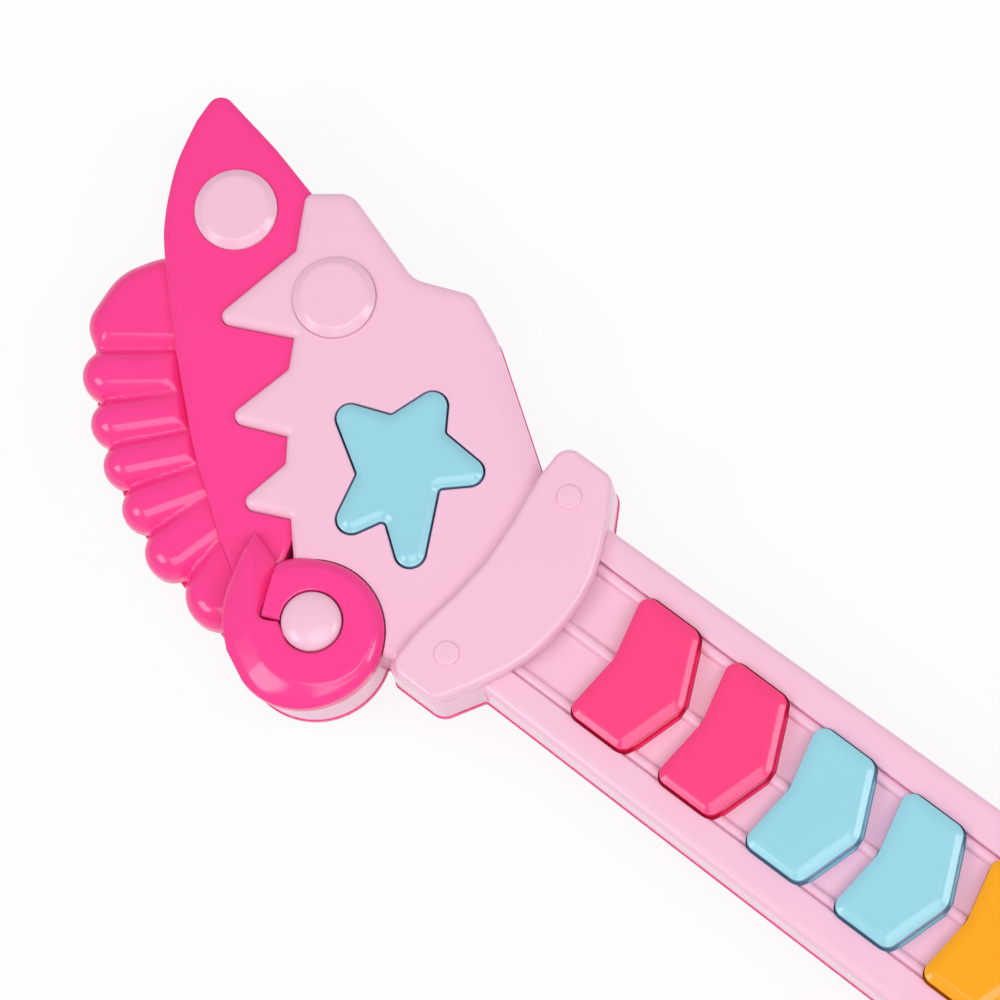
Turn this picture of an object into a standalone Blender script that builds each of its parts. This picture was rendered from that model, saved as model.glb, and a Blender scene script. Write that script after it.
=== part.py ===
"""Toy electric guitar with chevron keys in the neck and a star button in the head.

Lengths are in millimetres and become metres where a mesh is made. The guitar lies on its back:
+X runs from the body to the head, +Y to the fan side of the head, +Z out of its face.
The origin is at the centre of the flat on the body's back. Head and neck outlines are written
from the nut (x) and the neck's centreline (y).
"""
import math

import bmesh
import bpy
from mathutils import Matrix, Vector

MM = 0.001
GAP = 0.3                 # clearance between touching pieces

# Heights above the resting face
BODY_TOP = 32.0
BODY_SEAM = 16.0
NECK_BACK = 8.0
NECK_SEAM = 16.0
FACE = 28.0               # head plate and neck rails
LEAF_FACE = 25.5
FAN_FACE = 23.6
NUT_THICK = 2.8
SCROLL_THICK = 4.6
WALL = 2.0                # walls of every casing
NECK_SKIN = 4.0           # top of the neck casing, measured at the rails
CHANNEL_DEPTH = 2.0
BODY_SKIN = 2.2
FACE_EDGE = 1.5           # rounding of the head and neck's upper edge
BACK_EDGE = 3.0           # rounding of their lower edge
BODY_EDGE = 5.0

# Neck, nut and keys
NECK_HALF = 20.6          # at the nut
NECK_FLARE = 3.0          # how much wider each side is at the body end
NECK_TENON = 24.0         # how far the neck runs into the body
CHANNEL_HALF = 14.2
RIDGE_PITCH = 13.0
RIDGE_RADIUS = 1.25
NUT_HALF = 28.9
KEYS = 8
KEY_PITCH = 22.0
FIRST_KEY = -22.4         # first key's notch, from the nut
KEY_HALF = 14.2
KEY_LENGTH = 17.4
KEY_SKEW = 0.09           # the keys lean towards the head on the star's side
KEY_NOTCH = 2.3
KEY_POINT = 5.5
KEY_PROUD = 2.2           # above the rails
KEY_CLEAR = 0.5
KEY_LIP = 0.5             # retaining lip under the casing
LIP_THICK = 1.3
KEY_TRAVEL = 1.8
SHEET = 1.2               # rubber sheets and circuit boards
BOARD_HALF = 11.6

# Head
STAR_PROUD = 0.9
STAR_CLEAR = 0.35
SCROLL_X, SCROLL_Y, SCROLL_R = 29.9, 32.4, 15.0
DOME_X, DOME_Y, DOME_R = 30.7, 30.6, 6.1
CAP_R = 8.5
CAP_1 = (98.1, -27.9)
CAP_2 = (69.6, -25.0)
CAP_PROUD = 1.4
FAN_ROUND = 4.4

# Body
NECK_FACE = 64.0          # the body's end wall at the neck
KEY_MARGIN = 8.2          # from that wall to the last key's point
NUT_X = NECK_FACE + KEY_MARGIN + KEY_LENGTH + (KEYS - 1) * KEY_PITCH - FIRST_KEY
BODY_TAIL = -112.0
GUARD_THICK = 1.6
STRUM_X, STRUM_Y = -14.0, 0.0
STRUM_LENGTH = 46.0
STRUM_WIDTH = 9.0
STRUM_PROUD = 7.0
STRUM_SWING = 12.0
AXLE_R = 1.5
AXLE_CLEAR = 0.1
SPEAKER_X, SPEAKER_Y = -76.0, 0.0
SPEAKER_R = 22.0
GRILLE_R = 25.0
SLOT_WIDTH = 3.0
BUTTON_R = 8.0
BUTTON_PROUD = 3.0
BUTTON_TRAVEL = 2.0
BUTTON_CLEAR = 0.5
BUTTON_Y = -56.0
BUTTON_XS = (-72.0, -46.0, -20.0)
SWITCH_X, SWITCH_Y = 34.0, -52.0
SWITCH_TRAVEL = 8.0
SWITCH_LENGTH, SWITCH_WIDTH = 12.0, 7.0
WHAMMY_X, WHAMMY_Y = -56.0, 44.0
WHAMMY_REACH = 46.0
WHAMMY_ROD = 2.6
HUB_R = 9.0
BATTERY_R, BATTERY_LENGTH = 7.1, 50.0
BATTERY_X = -50.0
BATTERY_PITCH = 15.0
CONTACT = 0.8
DOOR_THICK = 2.0
DOOR_MARGIN = 4.0
SCREW_R = 1.1
SCREW_HEAD = 2.2
BOSS_R = 3.4

PALE, HOT, BLUE, ORANGE = "F6C5DB", "FC4B95", "A0D5E7", "FEAC01"
NAVY, STEEL, GREEN, CREAM, BLACK = "2A3350", "B9BCC0", "2F7A4A", "EFEAE0", "222222"


# ---------------------------------------------------------------- outlines
def fillet(corners, steps=2):
    """Closed outline from (x, y, radius) corners, each rounded by an arc."""
    outline = []
    count = len(corners)
    for index, (x, y, radius) in enumerate(corners):
        here = Vector((x, y))
        back = Vector(corners[index - 1][:2]) - here
        ahead = Vector(corners[(index + 1) % count][:2]) - here
        half = back.angle(ahead) / 2
        if radius <= 0 or half > math.radians(88):
            outline.append((x, y))
            continue
        reach = min(radius / math.tan(half), 0.45 * back.length, 0.45 * ahead.length)
        radius = reach * math.tan(half)
        middle = (back.normalized() + ahead.normalized()).normalized()
        centre = here + middle * radius / math.sin(half)
        first = here + back.normalized() * reach - centre
        last = here + ahead.normalized() * reach - centre
        turn = math.atan2(first.x * last.y - first.y * last.x, first.dot(last))
        parts = max(1, math.ceil(steps * abs(turn) / (math.pi / 2)))
        for part in range(parts + 1):
            angle = turn * part / parts
            point = centre + Matrix.Rotation(angle, 2) @ first
            outline.append((point.x, point.y))
    return outline


def area(outline):
    """Signed area, positive when the outline runs anticlockwise."""
    pairs = zip(outline, outline[1:] + outline[:1])
    return sum(a[0] * b[1] - b[0] * a[1] for a, b in pairs) / 2


def grow(corners, distance):
    """The same corners moved outwards, or inwards where the distance is negative."""
    if area(corners) < 0:
        corners = corners[::-1]
    moved = []
    count = len(corners)
    for index, (x, y, radius) in enumerate(corners):
        before = Vector((x, y)) - Vector(corners[index - 1][:2])
        after = Vector(corners[(index + 1) % count][:2]) - Vector((x, y))
        before.normalize()
        after.normalize()
        bisector = Vector((before.y + after.y, -before.x - after.x)).normalized()
        reach = distance / max(bisector.dot(Vector((before.y, -before.x))), 0.3)
        convex = before.x * after.y - before.y * after.x > 0
        fitted = radius + distance if convex else radius - distance
        moved.append((x + bisector.x * reach, y + bisector.y * reach, max(fitted, 0.3) if radius else 0))
    return moved


def sharp(points):
    """Points as corners without a radius."""
    return [(x, y, 0) for x, y in points]


def arc(x, y, radius, start, end, parts):
    """Points on an arc, angles in degrees."""
    angles = [math.radians(start + (end - start) * part / parts) for part in range(parts + 1)]
    return [(x + radius * math.cos(a), y + radius * math.sin(a)) for a in angles]


def curve(points, parts):
    """Smooth open curve through the points."""
    line = []
    ends = [points[0]] + list(points) + [points[-1]]
    for p0, p1, p2, p3 in zip(ends, ends[1:], ends[2:], ends[3:]):
        for part in range(parts):
            t = part / parts
            line.append(tuple(
                0.5 * (2 * b + (c - a) * t + (2 * a - 5 * b + 4 * c - d) * t * t
                       + (3 * b - a - 3 * c + d) * t ** 3)
                for a, b, c, d in zip(p0, p1, p2, p3)))
    return line + [tuple(points[-1])]


def shifted(corners, dx, dy=0.0):
    """Corners or points moved along."""
    return [(corner[0] + dx, corner[1] + dy, *corner[2:]) for corner in corners]


# ---------------------------------------------------------------- solids
def extrude(bm, face, rise):
    """Extrude one face along Z and return the new one, leaving no face inside."""
    inside = len(face.edges[0].link_faces) > 1
    made = bmesh.ops.extrude_face_region(bm, geom=[face])["geom"]
    if inside:
        bmesh.ops.delete(bm, geom=[face], context="FACES_ONLY")
    verts = [item for item in made if isinstance(item, bmesh.types.BMVert)]
    bmesh.ops.translate(bm, verts=verts, vec=(0, 0, rise))
    return next(item for item in made if isinstance(item, bmesh.types.BMFace))


def prism(outline, z0, z1, edge=0.0, rings=2):
    """Outline raised from z0 to z1, with the edge at z1 rounded."""
    bm = bmesh.new()
    face = bm.faces.new([bm.verts.new((x, y, z0)) for x, y in outline])
    rise = z1 - z0
    top = extrude(bm, face, rise - math.copysign(edge, rise))
    bmesh.ops.recalc_face_normals(bm, faces=bm.faces)
    for ring in range(rings if edge else 0):
        lower, upper = (math.radians(90 * step / rings) for step in (ring, ring + 1))
        bmesh.ops.inset_region(
            bm, faces=[top], use_boundary=True, use_even_offset=True,
            thickness=edge * (math.cos(lower) - math.cos(upper)),
            depth=edge * (math.sin(upper) - math.sin(lower)))
    return bm


def block(x0, x1, y0, y1, z0, z1):
    """Plain box between two corners."""
    return prism([(x0, y0), (x1, y0), (x1, y1), (x0, y1)], z0, z1)


def turned(profile, steps=20, x=0.0, y=0.0):
    """Solid of revolution about Z from (radius, z) points."""
    bm = bmesh.new()
    verts = [bm.verts.new((radius, 0, z)) for radius, z in profile]
    edges = [bm.edges.new((a, b)) for a, b in zip(verts, verts[1:]) if a.co.x or b.co.x]
    bmesh.ops.spin(bm, geom=verts + edges, cent=(0, 0, 0), axis=(0, 0, 1),
                   angle=math.tau, steps=steps, use_merge=True)
    bmesh.ops.remove_doubles(bm, verts=bm.verts, dist=1e-4)
    bmesh.ops.translate(bm, verts=bm.verts, vec=(x, y, 0))
    bmesh.ops.recalc_face_normals(bm, faces=bm.faces)
    return bm


def disc(x, y, radius, z0, z1, steps=16):
    """Plain round post or hole."""
    return turned([(0, z0), (radius, z0), (radius, z1), (0, z1)], steps, x, y)


def laid_along(bm, axis):
    """Turn a solid made along Z to lie along X or Y."""
    turn = Matrix.Rotation(math.radians(90), 4, "Y" if axis == "X" else "X")
    bmesh.ops.transform(bm, matrix=turn, verts=bm.verts)
    return bm


def together(solids):
    """Several solids that don't touch, as one mesh."""
    whole = bmesh.new()
    for solid in solids:
        mesh = bpy.data.meshes.new("spare")
        solid.to_mesh(mesh)
        solid.free()
        whole.from_mesh(mesh)
        bpy.data.meshes.remove(mesh)
    return whole


# ---------------------------------------------------------------- objects
def colour(code):
    """Principled BSDF base colour from an sRGB hex code."""
    parts = [int(code[place:place + 2], 16) / 255 for place in (0, 2, 4)]
    return [p / 12.92 if p <= 0.04045 else ((p + 0.055) / 1.055) ** 2.4 for p in parts] + [1]


def add(name, bm, code, at=(0, 0, 0), rough=0.25, metal=0.0):
    """Make a named object from a solid in millimetres, with its own material."""
    bmesh.ops.scale(bm, vec=(MM, MM, MM), verts=bm.verts)
    mesh = bpy.data.meshes.new(name)
    bm.to_mesh(mesh)
    bm.free()
    item = bpy.data.objects.new(name, mesh)
    item.location = Vector(at) * MM
    bpy.context.scene.collection.objects.link(item)
    material = bpy.data.materials.new(name)
    material.use_nodes = True
    shader = material.node_tree.nodes["Principled BSDF"]
    shader.inputs["Base Color"].default_value = colour(code)
    shader.inputs["Roughness"].default_value = rough
    shader.inputs["Metallic"].default_value = metal
    mesh.materials.append(material)
    mesh.shade_smooth()
    mesh.set_sharp_from_angle(angle=math.radians(35))
    return item


def shape(target, operation, name, *solids):
    """Cut solids out of the target, or join them to it."""
    bmeshes = together(solids)
    bmesh.ops.scale(bmeshes, vec=(MM, MM, MM), verts=bmeshes.verts)
    bmesh.ops.recalc_face_normals(bmeshes, faces=bmeshes.faces)
    mesh = bpy.data.meshes.new(name)
    bmeshes.to_mesh(mesh)
    bmeshes.free()
    tool = bpy.data.objects.new(name, mesh)
    tool.location = target.location
    tool.hide_render = True
    tool.display_type = "WIRE"
    bpy.context.scene.collection.objects.link(tool)
    modifier = target.modifiers.new(name, "BOOLEAN")
    modifier.operation = operation
    modifier.solver = "EXACT"
    modifier.object = tool
    return tool


def cut(target, name, *solids):
    shape(target, "DIFFERENCE", name, *solids)


def join(target, name, *solids):
    shape(target, "UNION", name, *solids)


# ---------------------------------------------------------------- outlines of head and neck
NECK_BUTT = NECK_FACE - NECK_TENON - NUT_X
NECK_BUTT_HALF = NECK_HALF + NECK_FLARE
NUT_SIDE = [(-4.4, NECK_HALF, 1.0), (0.5, NUT_HALF, 3.5), (12.6, NUT_HALF, 3.5)]
STAR_SIDE = [(12.8, -21.1, 1.0), (38.8, -38.6, 6.0), (47.8, -42.5, 4.0), (59.5, -37.9, 6.0)]
PEAK = [(81.0, -44.6, 5.0)]
TEETH = [(88.5, -38.9, 2.0), (82.5, -28.3, 1.0), (87.2, -6.4, 1.9), (71.4, -13.8, 0.5),
         (68.1, -7.9, 1.0), (72.0, 8.2, 1.9), (59.6, 3.1, 0.5), (56.2, 7.9, 1.0),
         (58.9, 20.9, 1.9), (48.3, 16.1, 0.5)]
FOOT = (13.4, 26.4, 0.5)
LEAF_SIDE = (100.0, -43.1, 30.0)
LEAF_TIP = (117.4, -46.2, 5.0)
LEAF_EDGE = [(116.9, -38.0), (114.8, -29.6), (112.1, -23.4), (109.1, -18.1), (105.4, -13.2),
             (95.8, -3.4), (88.8, 3.2), (81.5, 9.6), (74.0, 16.1), (66.7, 21.4), (59.3, 26.7),
             (51.4, 31.5), (47.5, 33.5)]
SWOOSH = [(51.0, 33.2), (47.0, 40.3), (41.9, 45.6)]
SWOOSH_TIP = (52.2, 21.4)
# Star: centre and radius of each round tip, and the valleys between them
STAR_TIPS = [((51.3, -7.3), 2.8), ((39.5, -19.1), 3.0), ((25.0, -12.9), 2.8), ((24.2, 7.3), 3.0),
             ((38.0, 8.9), 3.0)]
STAR_VALLEYS = [(44.9, -12.7), (34.0, -16.2), (27.9, -6.5), (32.5, 5.0), (42.9, 1.0)]
STAR_VALLEY_ROUND = 1.2
FIRST_LOBE = [(96.0, -16.0, 0), (104.6, -13.6, 12.0), (110.6, -4.0, 12.0), (109.6, 8.4, 6.0),
              (103.6, 12.0, 0), (87.5, 0.5, 0)]
# The other fan lobes: root, centre of the round end, radius
LOBES = [((86.0, 4.4), (98.7, 14.1), 5.5), ((80.2, 9.8), (91.4, 21.2), 5.0),
         ((73.3, 14.5), (83.9, 26.5), 4.9), ((66.4, 17.6), (75.0, 31.1), 5.1),
         ((60.5, 19.4), (64.8, 34.8), 6.0), ((52.0, 20.8), (51.3, 35.8), 6.9)]


def mirrored(corners):
    """The same corners on the other side of the centreline, in reverse order."""
    return [(x, -y, radius) for x, y, radius in reversed(corners)]


def scroll_arc(start, end, parts):
    """Corners along the scroll's ring."""
    return sharp(arc(SCROLL_X, SCROLL_Y, SCROLL_R, start, end, parts))


def front_corners():
    """Neck, nut ends, head plate with its teeth, and the round foot under the scroll."""
    neck = [(NECK_BUTT, NECK_BUTT_HALF, 0), (NECK_BUTT, -NECK_BUTT_HALF, 0)]
    nut = [(x, -y, radius) for x, y, radius in NUT_SIDE]
    foot = scroll_arc(-38, 200, 18) + [FOOT]
    return neck + nut + STAR_SIDE + PEAK + TEETH + foot + NUT_SIDE[::-1]


def leaf_corners():
    """Leaf with its pointed tip; the rest runs under the plate and is cut to it."""
    edge = sharp(curve(LEAF_EDGE, 2))
    return [(82.0, -38.5, 0), LEAF_SIDE, LEAF_TIP] + edge + [(44.0, 24.0, 0), (62.0, -30.0, 0)]


def back_corners():
    """The whole head and neck, as the rear casing goes round it."""
    neck = [(NECK_BUTT, NECK_BUTT_HALF, 0), (NECK_BUTT, -NECK_BUTT_HALF, 0)]
    nut = [(x, -y, radius) for x, y, radius in NUT_SIDE]
    tip = [(88.0, -40.4, 1.0), LEAF_SIDE, LEAF_TIP, (115.5, -36.0, 20.0), (107.0, -19.0, 10.0)]
    fan = [(105.6, -11.0, 4.0), (108.0, -5.0, 8.0), (107.6, 6.0, 6.0), (101.5, 16.0, 4.0), (93.6, 23.4, 4.0),
           (85.8, 28.6, 4.0), (76.9, 33.8, 4.0), (66.5, 38.2, 5.0), (52.0, 41.4, 4.0)]
    foot = scroll_arc(52, 200, 11) + [FOOT]
    return neck + nut + STAR_SIDE + PEAK + tip + fan + foot + NUT_SIDE[::-1]


def scroll_corners():
    """Ring with a hook that rises to a pointed tip."""
    hook = [(*SWOOSH_TIP, 2.0)] + [(x, y, 8.0) for x, y in SWOOSH]
    return hook + scroll_arc(66, 328, 20)


def star_corners(parts=5):
    """Star whose straight flanks run from the round tips to soft valleys."""
    corners = []
    for ((x, y), radius), before, after in zip(STAR_TIPS, STAR_VALLEYS[-1:] + STAR_VALLEYS, STAR_VALLEYS):
        ends = []
        for valley, side in ((before, -1), (after, 1)):
            away = Vector(valley) - Vector((x, y))
            bearing = math.atan2(away.y, away.x) + side * math.acos(radius / away.length)
            ends.append(math.degrees(bearing))
        turn = (ends[1] - ends[0]) % 360 - 360
        corners += sharp(arc(x, y, radius, ends[0], ends[0] + turn, parts))
        corners.append((*after, STAR_VALLEY_ROUND))
    return corners


def key_corners(extra=0.0):
    """Chevron key, its notch towards the head, at the notch's own origin."""
    tail = KEY_NOTCH - KEY_LENGTH + KEY_POINT
    flat = [(0, 0, 5.0), (KEY_NOTCH, KEY_HALF, 2.4), (tail - KEY_NOTCH, KEY_HALF, 2.6),
            (-KEY_LENGTH, 0, 4.0), (tail - KEY_NOTCH, -KEY_HALF, 2.6), (KEY_NOTCH, -KEY_HALF, 2.4)]
    leaning = [(x - KEY_SKEW * y, y, radius) for x, y, radius in flat]
    return grow(leaning, extra) if extra else leaning


def nut_corners():
    """Crescent plate with rounded ends."""
    tips = [(x, -y, radius) for x, y, radius in NUT_SIDE]
    return ([(-10.5, 0, 40.0), (-9.2, -11.0, 30.0)] + tips + [(12.6, -20.0, 6.0), (9.6, 0, 60.0)]
            + [(12.6, 20.0, 6.0)] + NUT_SIDE[::-1] + [(-9.2, 11.0, 30.0)])


def key_x(number):
    """Notch of a key, from the nut."""
    return FIRST_KEY - KEY_PITCH * number


def on_guitar(corners):
    """Head and neck corners in the guitar's own frame."""
    return shifted(corners, NUT_X)


# ---------------------------------------------------------------- screws
def screw(name, x, y, z_head, length, at=None):
    """Countersunk self-tapping screw driven upwards from the back."""
    ease = SCREW_HEAD * 0.45
    bm = turned([(0, 0), (SCREW_HEAD, 0), (SCREW_HEAD, 0.6), (SCREW_R, 0.6 + ease),
                 (SCREW_R, length - 1.2), (0, length)], 8)
    origin = at or (x, y, z_head)
    bmesh.ops.translate(bm, verts=bm.verts, vec=Vector((x, y, z_head)) - Vector(origin))
    return add(name, bm, STEEL, origin, 0.35, 1.0)


def screw_bore(x, y, z_open, z_head, z_end):
    """Counterbore, seat and clearance hole for a screw."""
    wide = SCREW_HEAD + GAP
    narrow = SCREW_R + GAP
    step = z_head + 0.6 + SCREW_HEAD * 0.45 + GAP
    return turned([(0, z_open), (wide, z_open), (wide, z_head + 0.6), (narrow, step),
                   (narrow, z_end), (0, z_end)], 10, x, y)


# ================================================================ the model
for old in list(bpy.data.objects):
    bpy.data.objects.remove(old)

SKIN_UNDER = FACE - NECK_SKIN
CHANNEL = FACE - CHANNEL_DEPTH
INNER_BACK = NECK_BACK + WALL
KEY_BASE = SKIN_UNDER - GAP - LIP_THICK          # underside of a key at rest
SHEET_TOP = KEY_BASE - KEY_TRAVEL - GAP          # rubber under the keys
BOARD_TOP = SHEET_TOP - SHEET - GAP
BOARD_UNDER = BOARD_TOP - SHEET

# ---- neck and head casing
SCREW_SIDE = 15.5         # between the keys' lips, outside the circuit board
NECK_SCREWS = [(key_x(1) - 17.0, SCREW_SIDE), (key_x(5) - 14.5, -SCREW_SIDE)]
HEAD_SCREWS = [(60.0, -18.0), (22.0, 37.0)]
CASING_SCREWS = [(NUT_X + x, y) for x, y in NECK_SCREWS + HEAD_SCREWS]
JOINT_SCREWS = [(NECK_FACE - NECK_TENON / 2, y) for y in (-10.0, 10.0)]
POST_XS = [NUT_X + key_x(number) - 20.0 for number in (0, 3, 6)]
POST_R = 2.4
FRONT_BOSS = 2.2
LEAD_WINDOW = 6.0
RIBBON_HALF = 4.0
RIBBON_THICK = 0.6
STRIP_TOP = BOARD_UNDER - GAP

plate = fillet(on_guitar(front_corners()))
front = add("neck_front_shell", prism(plate, NECK_SEAM, FACE, FACE_EDGE, 2), PALE)
hollow = fillet(on_guitar(grow(front_corners(), -WALL)), 2)
cut(front, "front_hollow", prism(hollow, NECK_SEAM - 5, SKIN_UNDER))
butt_x = NUT_X + NECK_BUTT
cut(front, "neck_channel", block(butt_x - 5, NUT_X - 6, -CHANNEL_HALF, CHANNEL_HALF, CHANNEL, FACE + 5))
ridges = [laid_along(disc(0, 0, RIDGE_RADIUS, butt_x + 1, NUT_X - 4, 10), "X")
          for _ in range(3)]
for number, ridge in enumerate(ridges):
    place = Vector((0, (number - 1) * RIDGE_PITCH, CHANNEL))
    bmesh.ops.translate(ridge, verts=ridge.verts, vec=place)
join(front, "string_ridges", *ridges)
join(front, "front_bosses", *[disc(x, y, FRONT_BOSS, NECK_SEAM, SKIN_UNDER + 0.6, 12)
                              for x, y in CASING_SCREWS])
openings = [prism(fillet(shifted(key_corners(KEY_CLEAR), NUT_X + key_x(number)), 2), SKIN_UNDER - 3, FACE + 3)
            for number in range(KEYS)]
openings.append(prism(fillet(on_guitar(grow(star_corners(), STAR_CLEAR)), 2), SKIN_UNDER - 3, FACE + 3))
cut(front, "key_and_star_openings", *openings)
cut(front, "scroll_seat", prism(fillet(on_guitar(grow(scroll_corners(), GAP)), 2), LEAF_FACE, FACE + 5))
cap_2 = (NUT_X + CAP_2[0], CAP_2[1])
CAP_SEAT = 1.8
cut(front, "cap_seat", disc(*cap_2, CAP_R + GAP, FACE - CAP_SEAT, FACE + 3, 24))
cut(front, "front_pilots", *[disc(x, y, SCREW_R + GAP, NECK_SEAM - 3, SKIN_UNDER - 1.2, 12)
                             for x, y in CASING_SCREWS],
    block(butt_x - 5, butt_x + 6, -LEAD_WINDOW, LEAD_WINDOW, NECK_SEAM - 5, SKIN_UNDER - 3))

rim = NECK_SEAM - GAP
rear = add("neck_rear_shell", prism(fillet(on_guitar(back_corners())), rim, NECK_BACK, BACK_EDGE, 2), HOT)
hollow = fillet(on_guitar(grow(back_corners(), -WALL)), 2)
cut(rear, "rear_hollow", prism(hollow, INNER_BACK, rim + 5))
join(rear, "rear_bosses", *[disc(x, y, BOSS_R, INNER_BACK - 0.6, rim, 12)
                            for x, y in CASING_SCREWS + JOINT_SCREWS])
join(rear, "board_posts", *[disc(x, 0, POST_R, INNER_BACK - 0.6, STRIP_TOP, 10)
                            for x in POST_XS + [NUT_X + 36.0]])
cut(rear, "rear_bores",
    *[screw_bore(x, y, NECK_BACK - 2, NECK_BACK + 0.6, rim + 2) for x, y in CASING_SCREWS],
    *[disc(x, y, SCREW_R + GAP, NECK_BACK - 2, rim - 1.2, 12) for x, y in JOINT_SCREWS],
    block(butt_x - 5, butt_x + 6, -LEAD_WINDOW, LEAD_WINDOW, INNER_BACK + 1, rim + 5))

# ---- hot pink leaf, fan and scroll on the head
LEAF_SKIN = 3.5
leaf = add("leaf_overlay", prism(fillet(on_guitar(leaf_corners())), NECK_SEAM, LEAF_FACE, 1.8), HOT)
leaf_room = prism(fillet(on_guitar(grow(leaf_corners(), -WALL)), 2), NECK_SEAM - 5, LEAF_FACE - LEAF_SKIN)
room = shape(leaf, "DIFFERENCE", "leaf_hollow", leaf_room)
plate_room = prism(fillet(on_guitar(grow(front_corners(), GAP + WALL)), 2), NECK_SEAM - 8, FACE + 5)
cut(room, "leaf_inner_wall", plate_room)
cut(leaf, "leaf_fit", prism(fillet(on_guitar(grow(front_corners(), GAP))), NECK_SEAM - 5, FACE + 5))
cap_1 = (NUT_X + CAP_1[0], CAP_1[1])
cut(leaf, "leaf_cap_seat", disc(*cap_1, CAP_R + GAP, LEAF_FACE - CAP_SEAT, FACE + 3, 24))


def lobe(root, tip, radius):
    """Outline of one finger of the fan."""
    (x0, y0), (x1, y1) = root, tip
    heading = math.degrees(math.atan2(y1 - y0, x1 - x0))
    side = Vector((-(y1 - y0), x1 - x0)).normalized() * radius
    outline = [(x0 + side.x, y0 + side.y), (x0 - side.x, y0 - side.y)]
    return outline + arc(x1, y1, radius, heading - 90, heading + 90, 8)


def finger(outline):
    """One rounded finger of the fan, flat underneath."""
    return prism(shifted(outline, NUT_X), NECK_SEAM, FAN_FACE, FAN_ROUND, 3)


fan = add("tuner_fan", finger(fillet(FIRST_LOBE, 4)), HOT)
for number, (root, tip, radius) in enumerate(LOBES, 2):
    join(fan, f"fan_lobe_{number}", finger(lobe(root, tip, radius)))
cut(fan, "fan_fit", prism(fillet(on_guitar(grow(leaf_corners(), GAP))), NECK_SEAM - 5, FACE + 5))
cut(fan, "fan_plate_fit", prism(fillet(on_guitar(grow(front_corners(), GAP))), NECK_SEAM - 5, FACE + 5))

scroll_base = LEAF_FACE + GAP
scroll_top = scroll_base + SCROLL_THICK
scroll = add("scroll_overlay", prism(fillet(on_guitar(scroll_corners())), scroll_base, scroll_top, 1.4), HOT)
dome_x, dome_y = NUT_X + DOME_X, DOME_Y
NOTCH_DEPTH = 2.2
SCROLL_NOTCH = [(45.9, 22.2), (39.4, 35.4), (36.0, 33.8), (41.9, 25.2)]
notch = shifted(SCROLL_NOTCH, NUT_X)
cut(scroll, "scroll_eye", disc(dome_x, dome_y, DOME_R + GAP, scroll_base - 3, scroll_top + 3, 24))
cut(scroll, "scroll_notch", prism(notch, scroll_top - NOTCH_DEPTH, scroll_top + 3))


def domed(radius, thick, crown):
    """Turned cap, its top swelling by the crown."""
    rise = [(radius * math.cos(math.radians(a)), thick + crown * math.sin(math.radians(a)))
            for a in (0, 30, 62)]
    return turned([(0, 0), (radius, 0)] + rise + [(0, thick + crown)], 18)


add("scroll_dome", domed(DOME_R, SCROLL_THICK - 0.4, 2.0), PALE, (dome_x, dome_y, scroll_base))
add("tuner_cap_1", domed(CAP_R, CAP_SEAT, CAP_PROUD), PALE, (*cap_1, LEAF_FACE - CAP_SEAT + GAP))
add("tuner_cap_2", domed(CAP_R, CAP_SEAT, CAP_PROUD), PALE, (*cap_2, FACE - CAP_SEAT + GAP))
nut_base = FACE + GAP
add("nut_plate", prism(fillet(on_guitar(nut_corners())), nut_base, nut_base + NUT_THICK, 1.0), PALE)

# ---- star button and keys, each sliding in its opening
def push_button(name, corners, lip, base, top, edge, at, code):
    """Cap with a lip under the casing that keeps it in."""
    x, y = at
    cap = add(name, prism(fillet(corners), 0, top - base, edge, 2), code, (x, y, base))
    join(cap, name + "_lip", prism(fillet(grow(corners, lip), 1), -0.001, LIP_THICK))
    return cap


STAR_CENTRE = (37.0, -5.0)
star_local = shifted(star_corners(), -STAR_CENTRE[0], -STAR_CENTRE[1])
push_button("star_button", star_local, STAR_CLEAR + KEY_LIP, KEY_BASE, FACE + STAR_PROUD, 0.8,
            (NUT_X + STAR_CENTRE[0], STAR_CENTRE[1]), BLUE)
KEY_COLOURS = [HOT, HOT, BLUE, BLUE, ORANGE, ORANGE, HOT, HOT]
for number in range(KEYS):
    push_button(f"key_{number + 1}", key_corners(), KEY_CLEAR + KEY_LIP, KEY_BASE, FACE + KEY_PROUD, 1.8,
                (NUT_X + key_x(number), 0), KEY_COLOURS[number % len(KEY_COLOURS)])

board_start = NUT_X + key_x(KEYS - 1) - KEY_LENGTH
board_end = NUT_X + FIRST_KEY + KEY_NOTCH + 3.0
for name, low, code in (("key_rubber_sheet", SHEET_TOP - SHEET, CREAM),
                        ("key_circuit_board", BOARD_UNDER, GREEN)):
    add(name, block(board_start, board_end, -BOARD_HALF, BOARD_HALF, low, low + SHEET), code, rough=0.6)
star_x0, star_x1 = NUT_X + 20.0, NUT_X + 50.0
STAR_BOARD_SIDES = (-14.0, 10.0)
for name, low, code in (("star_rubber_pad", SHEET_TOP - SHEET, CREAM),
                        ("star_circuit_board", BOARD_UNDER, GREEN)):
    add(name, block(star_x0, star_x1, *STAR_BOARD_SIDES, low, low + SHEET), code, rough=0.6)
RIBBON_GRASP = 6.0        # how far a ribbon lies under a board
add("star_ribbon", block(board_end - RIBBON_GRASP, star_x0 + RIBBON_GRASP, -RIBBON_HALF, RIBBON_HALF,
                         STRIP_TOP - RIBBON_THICK, STRIP_TOP), CREAM)

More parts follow.
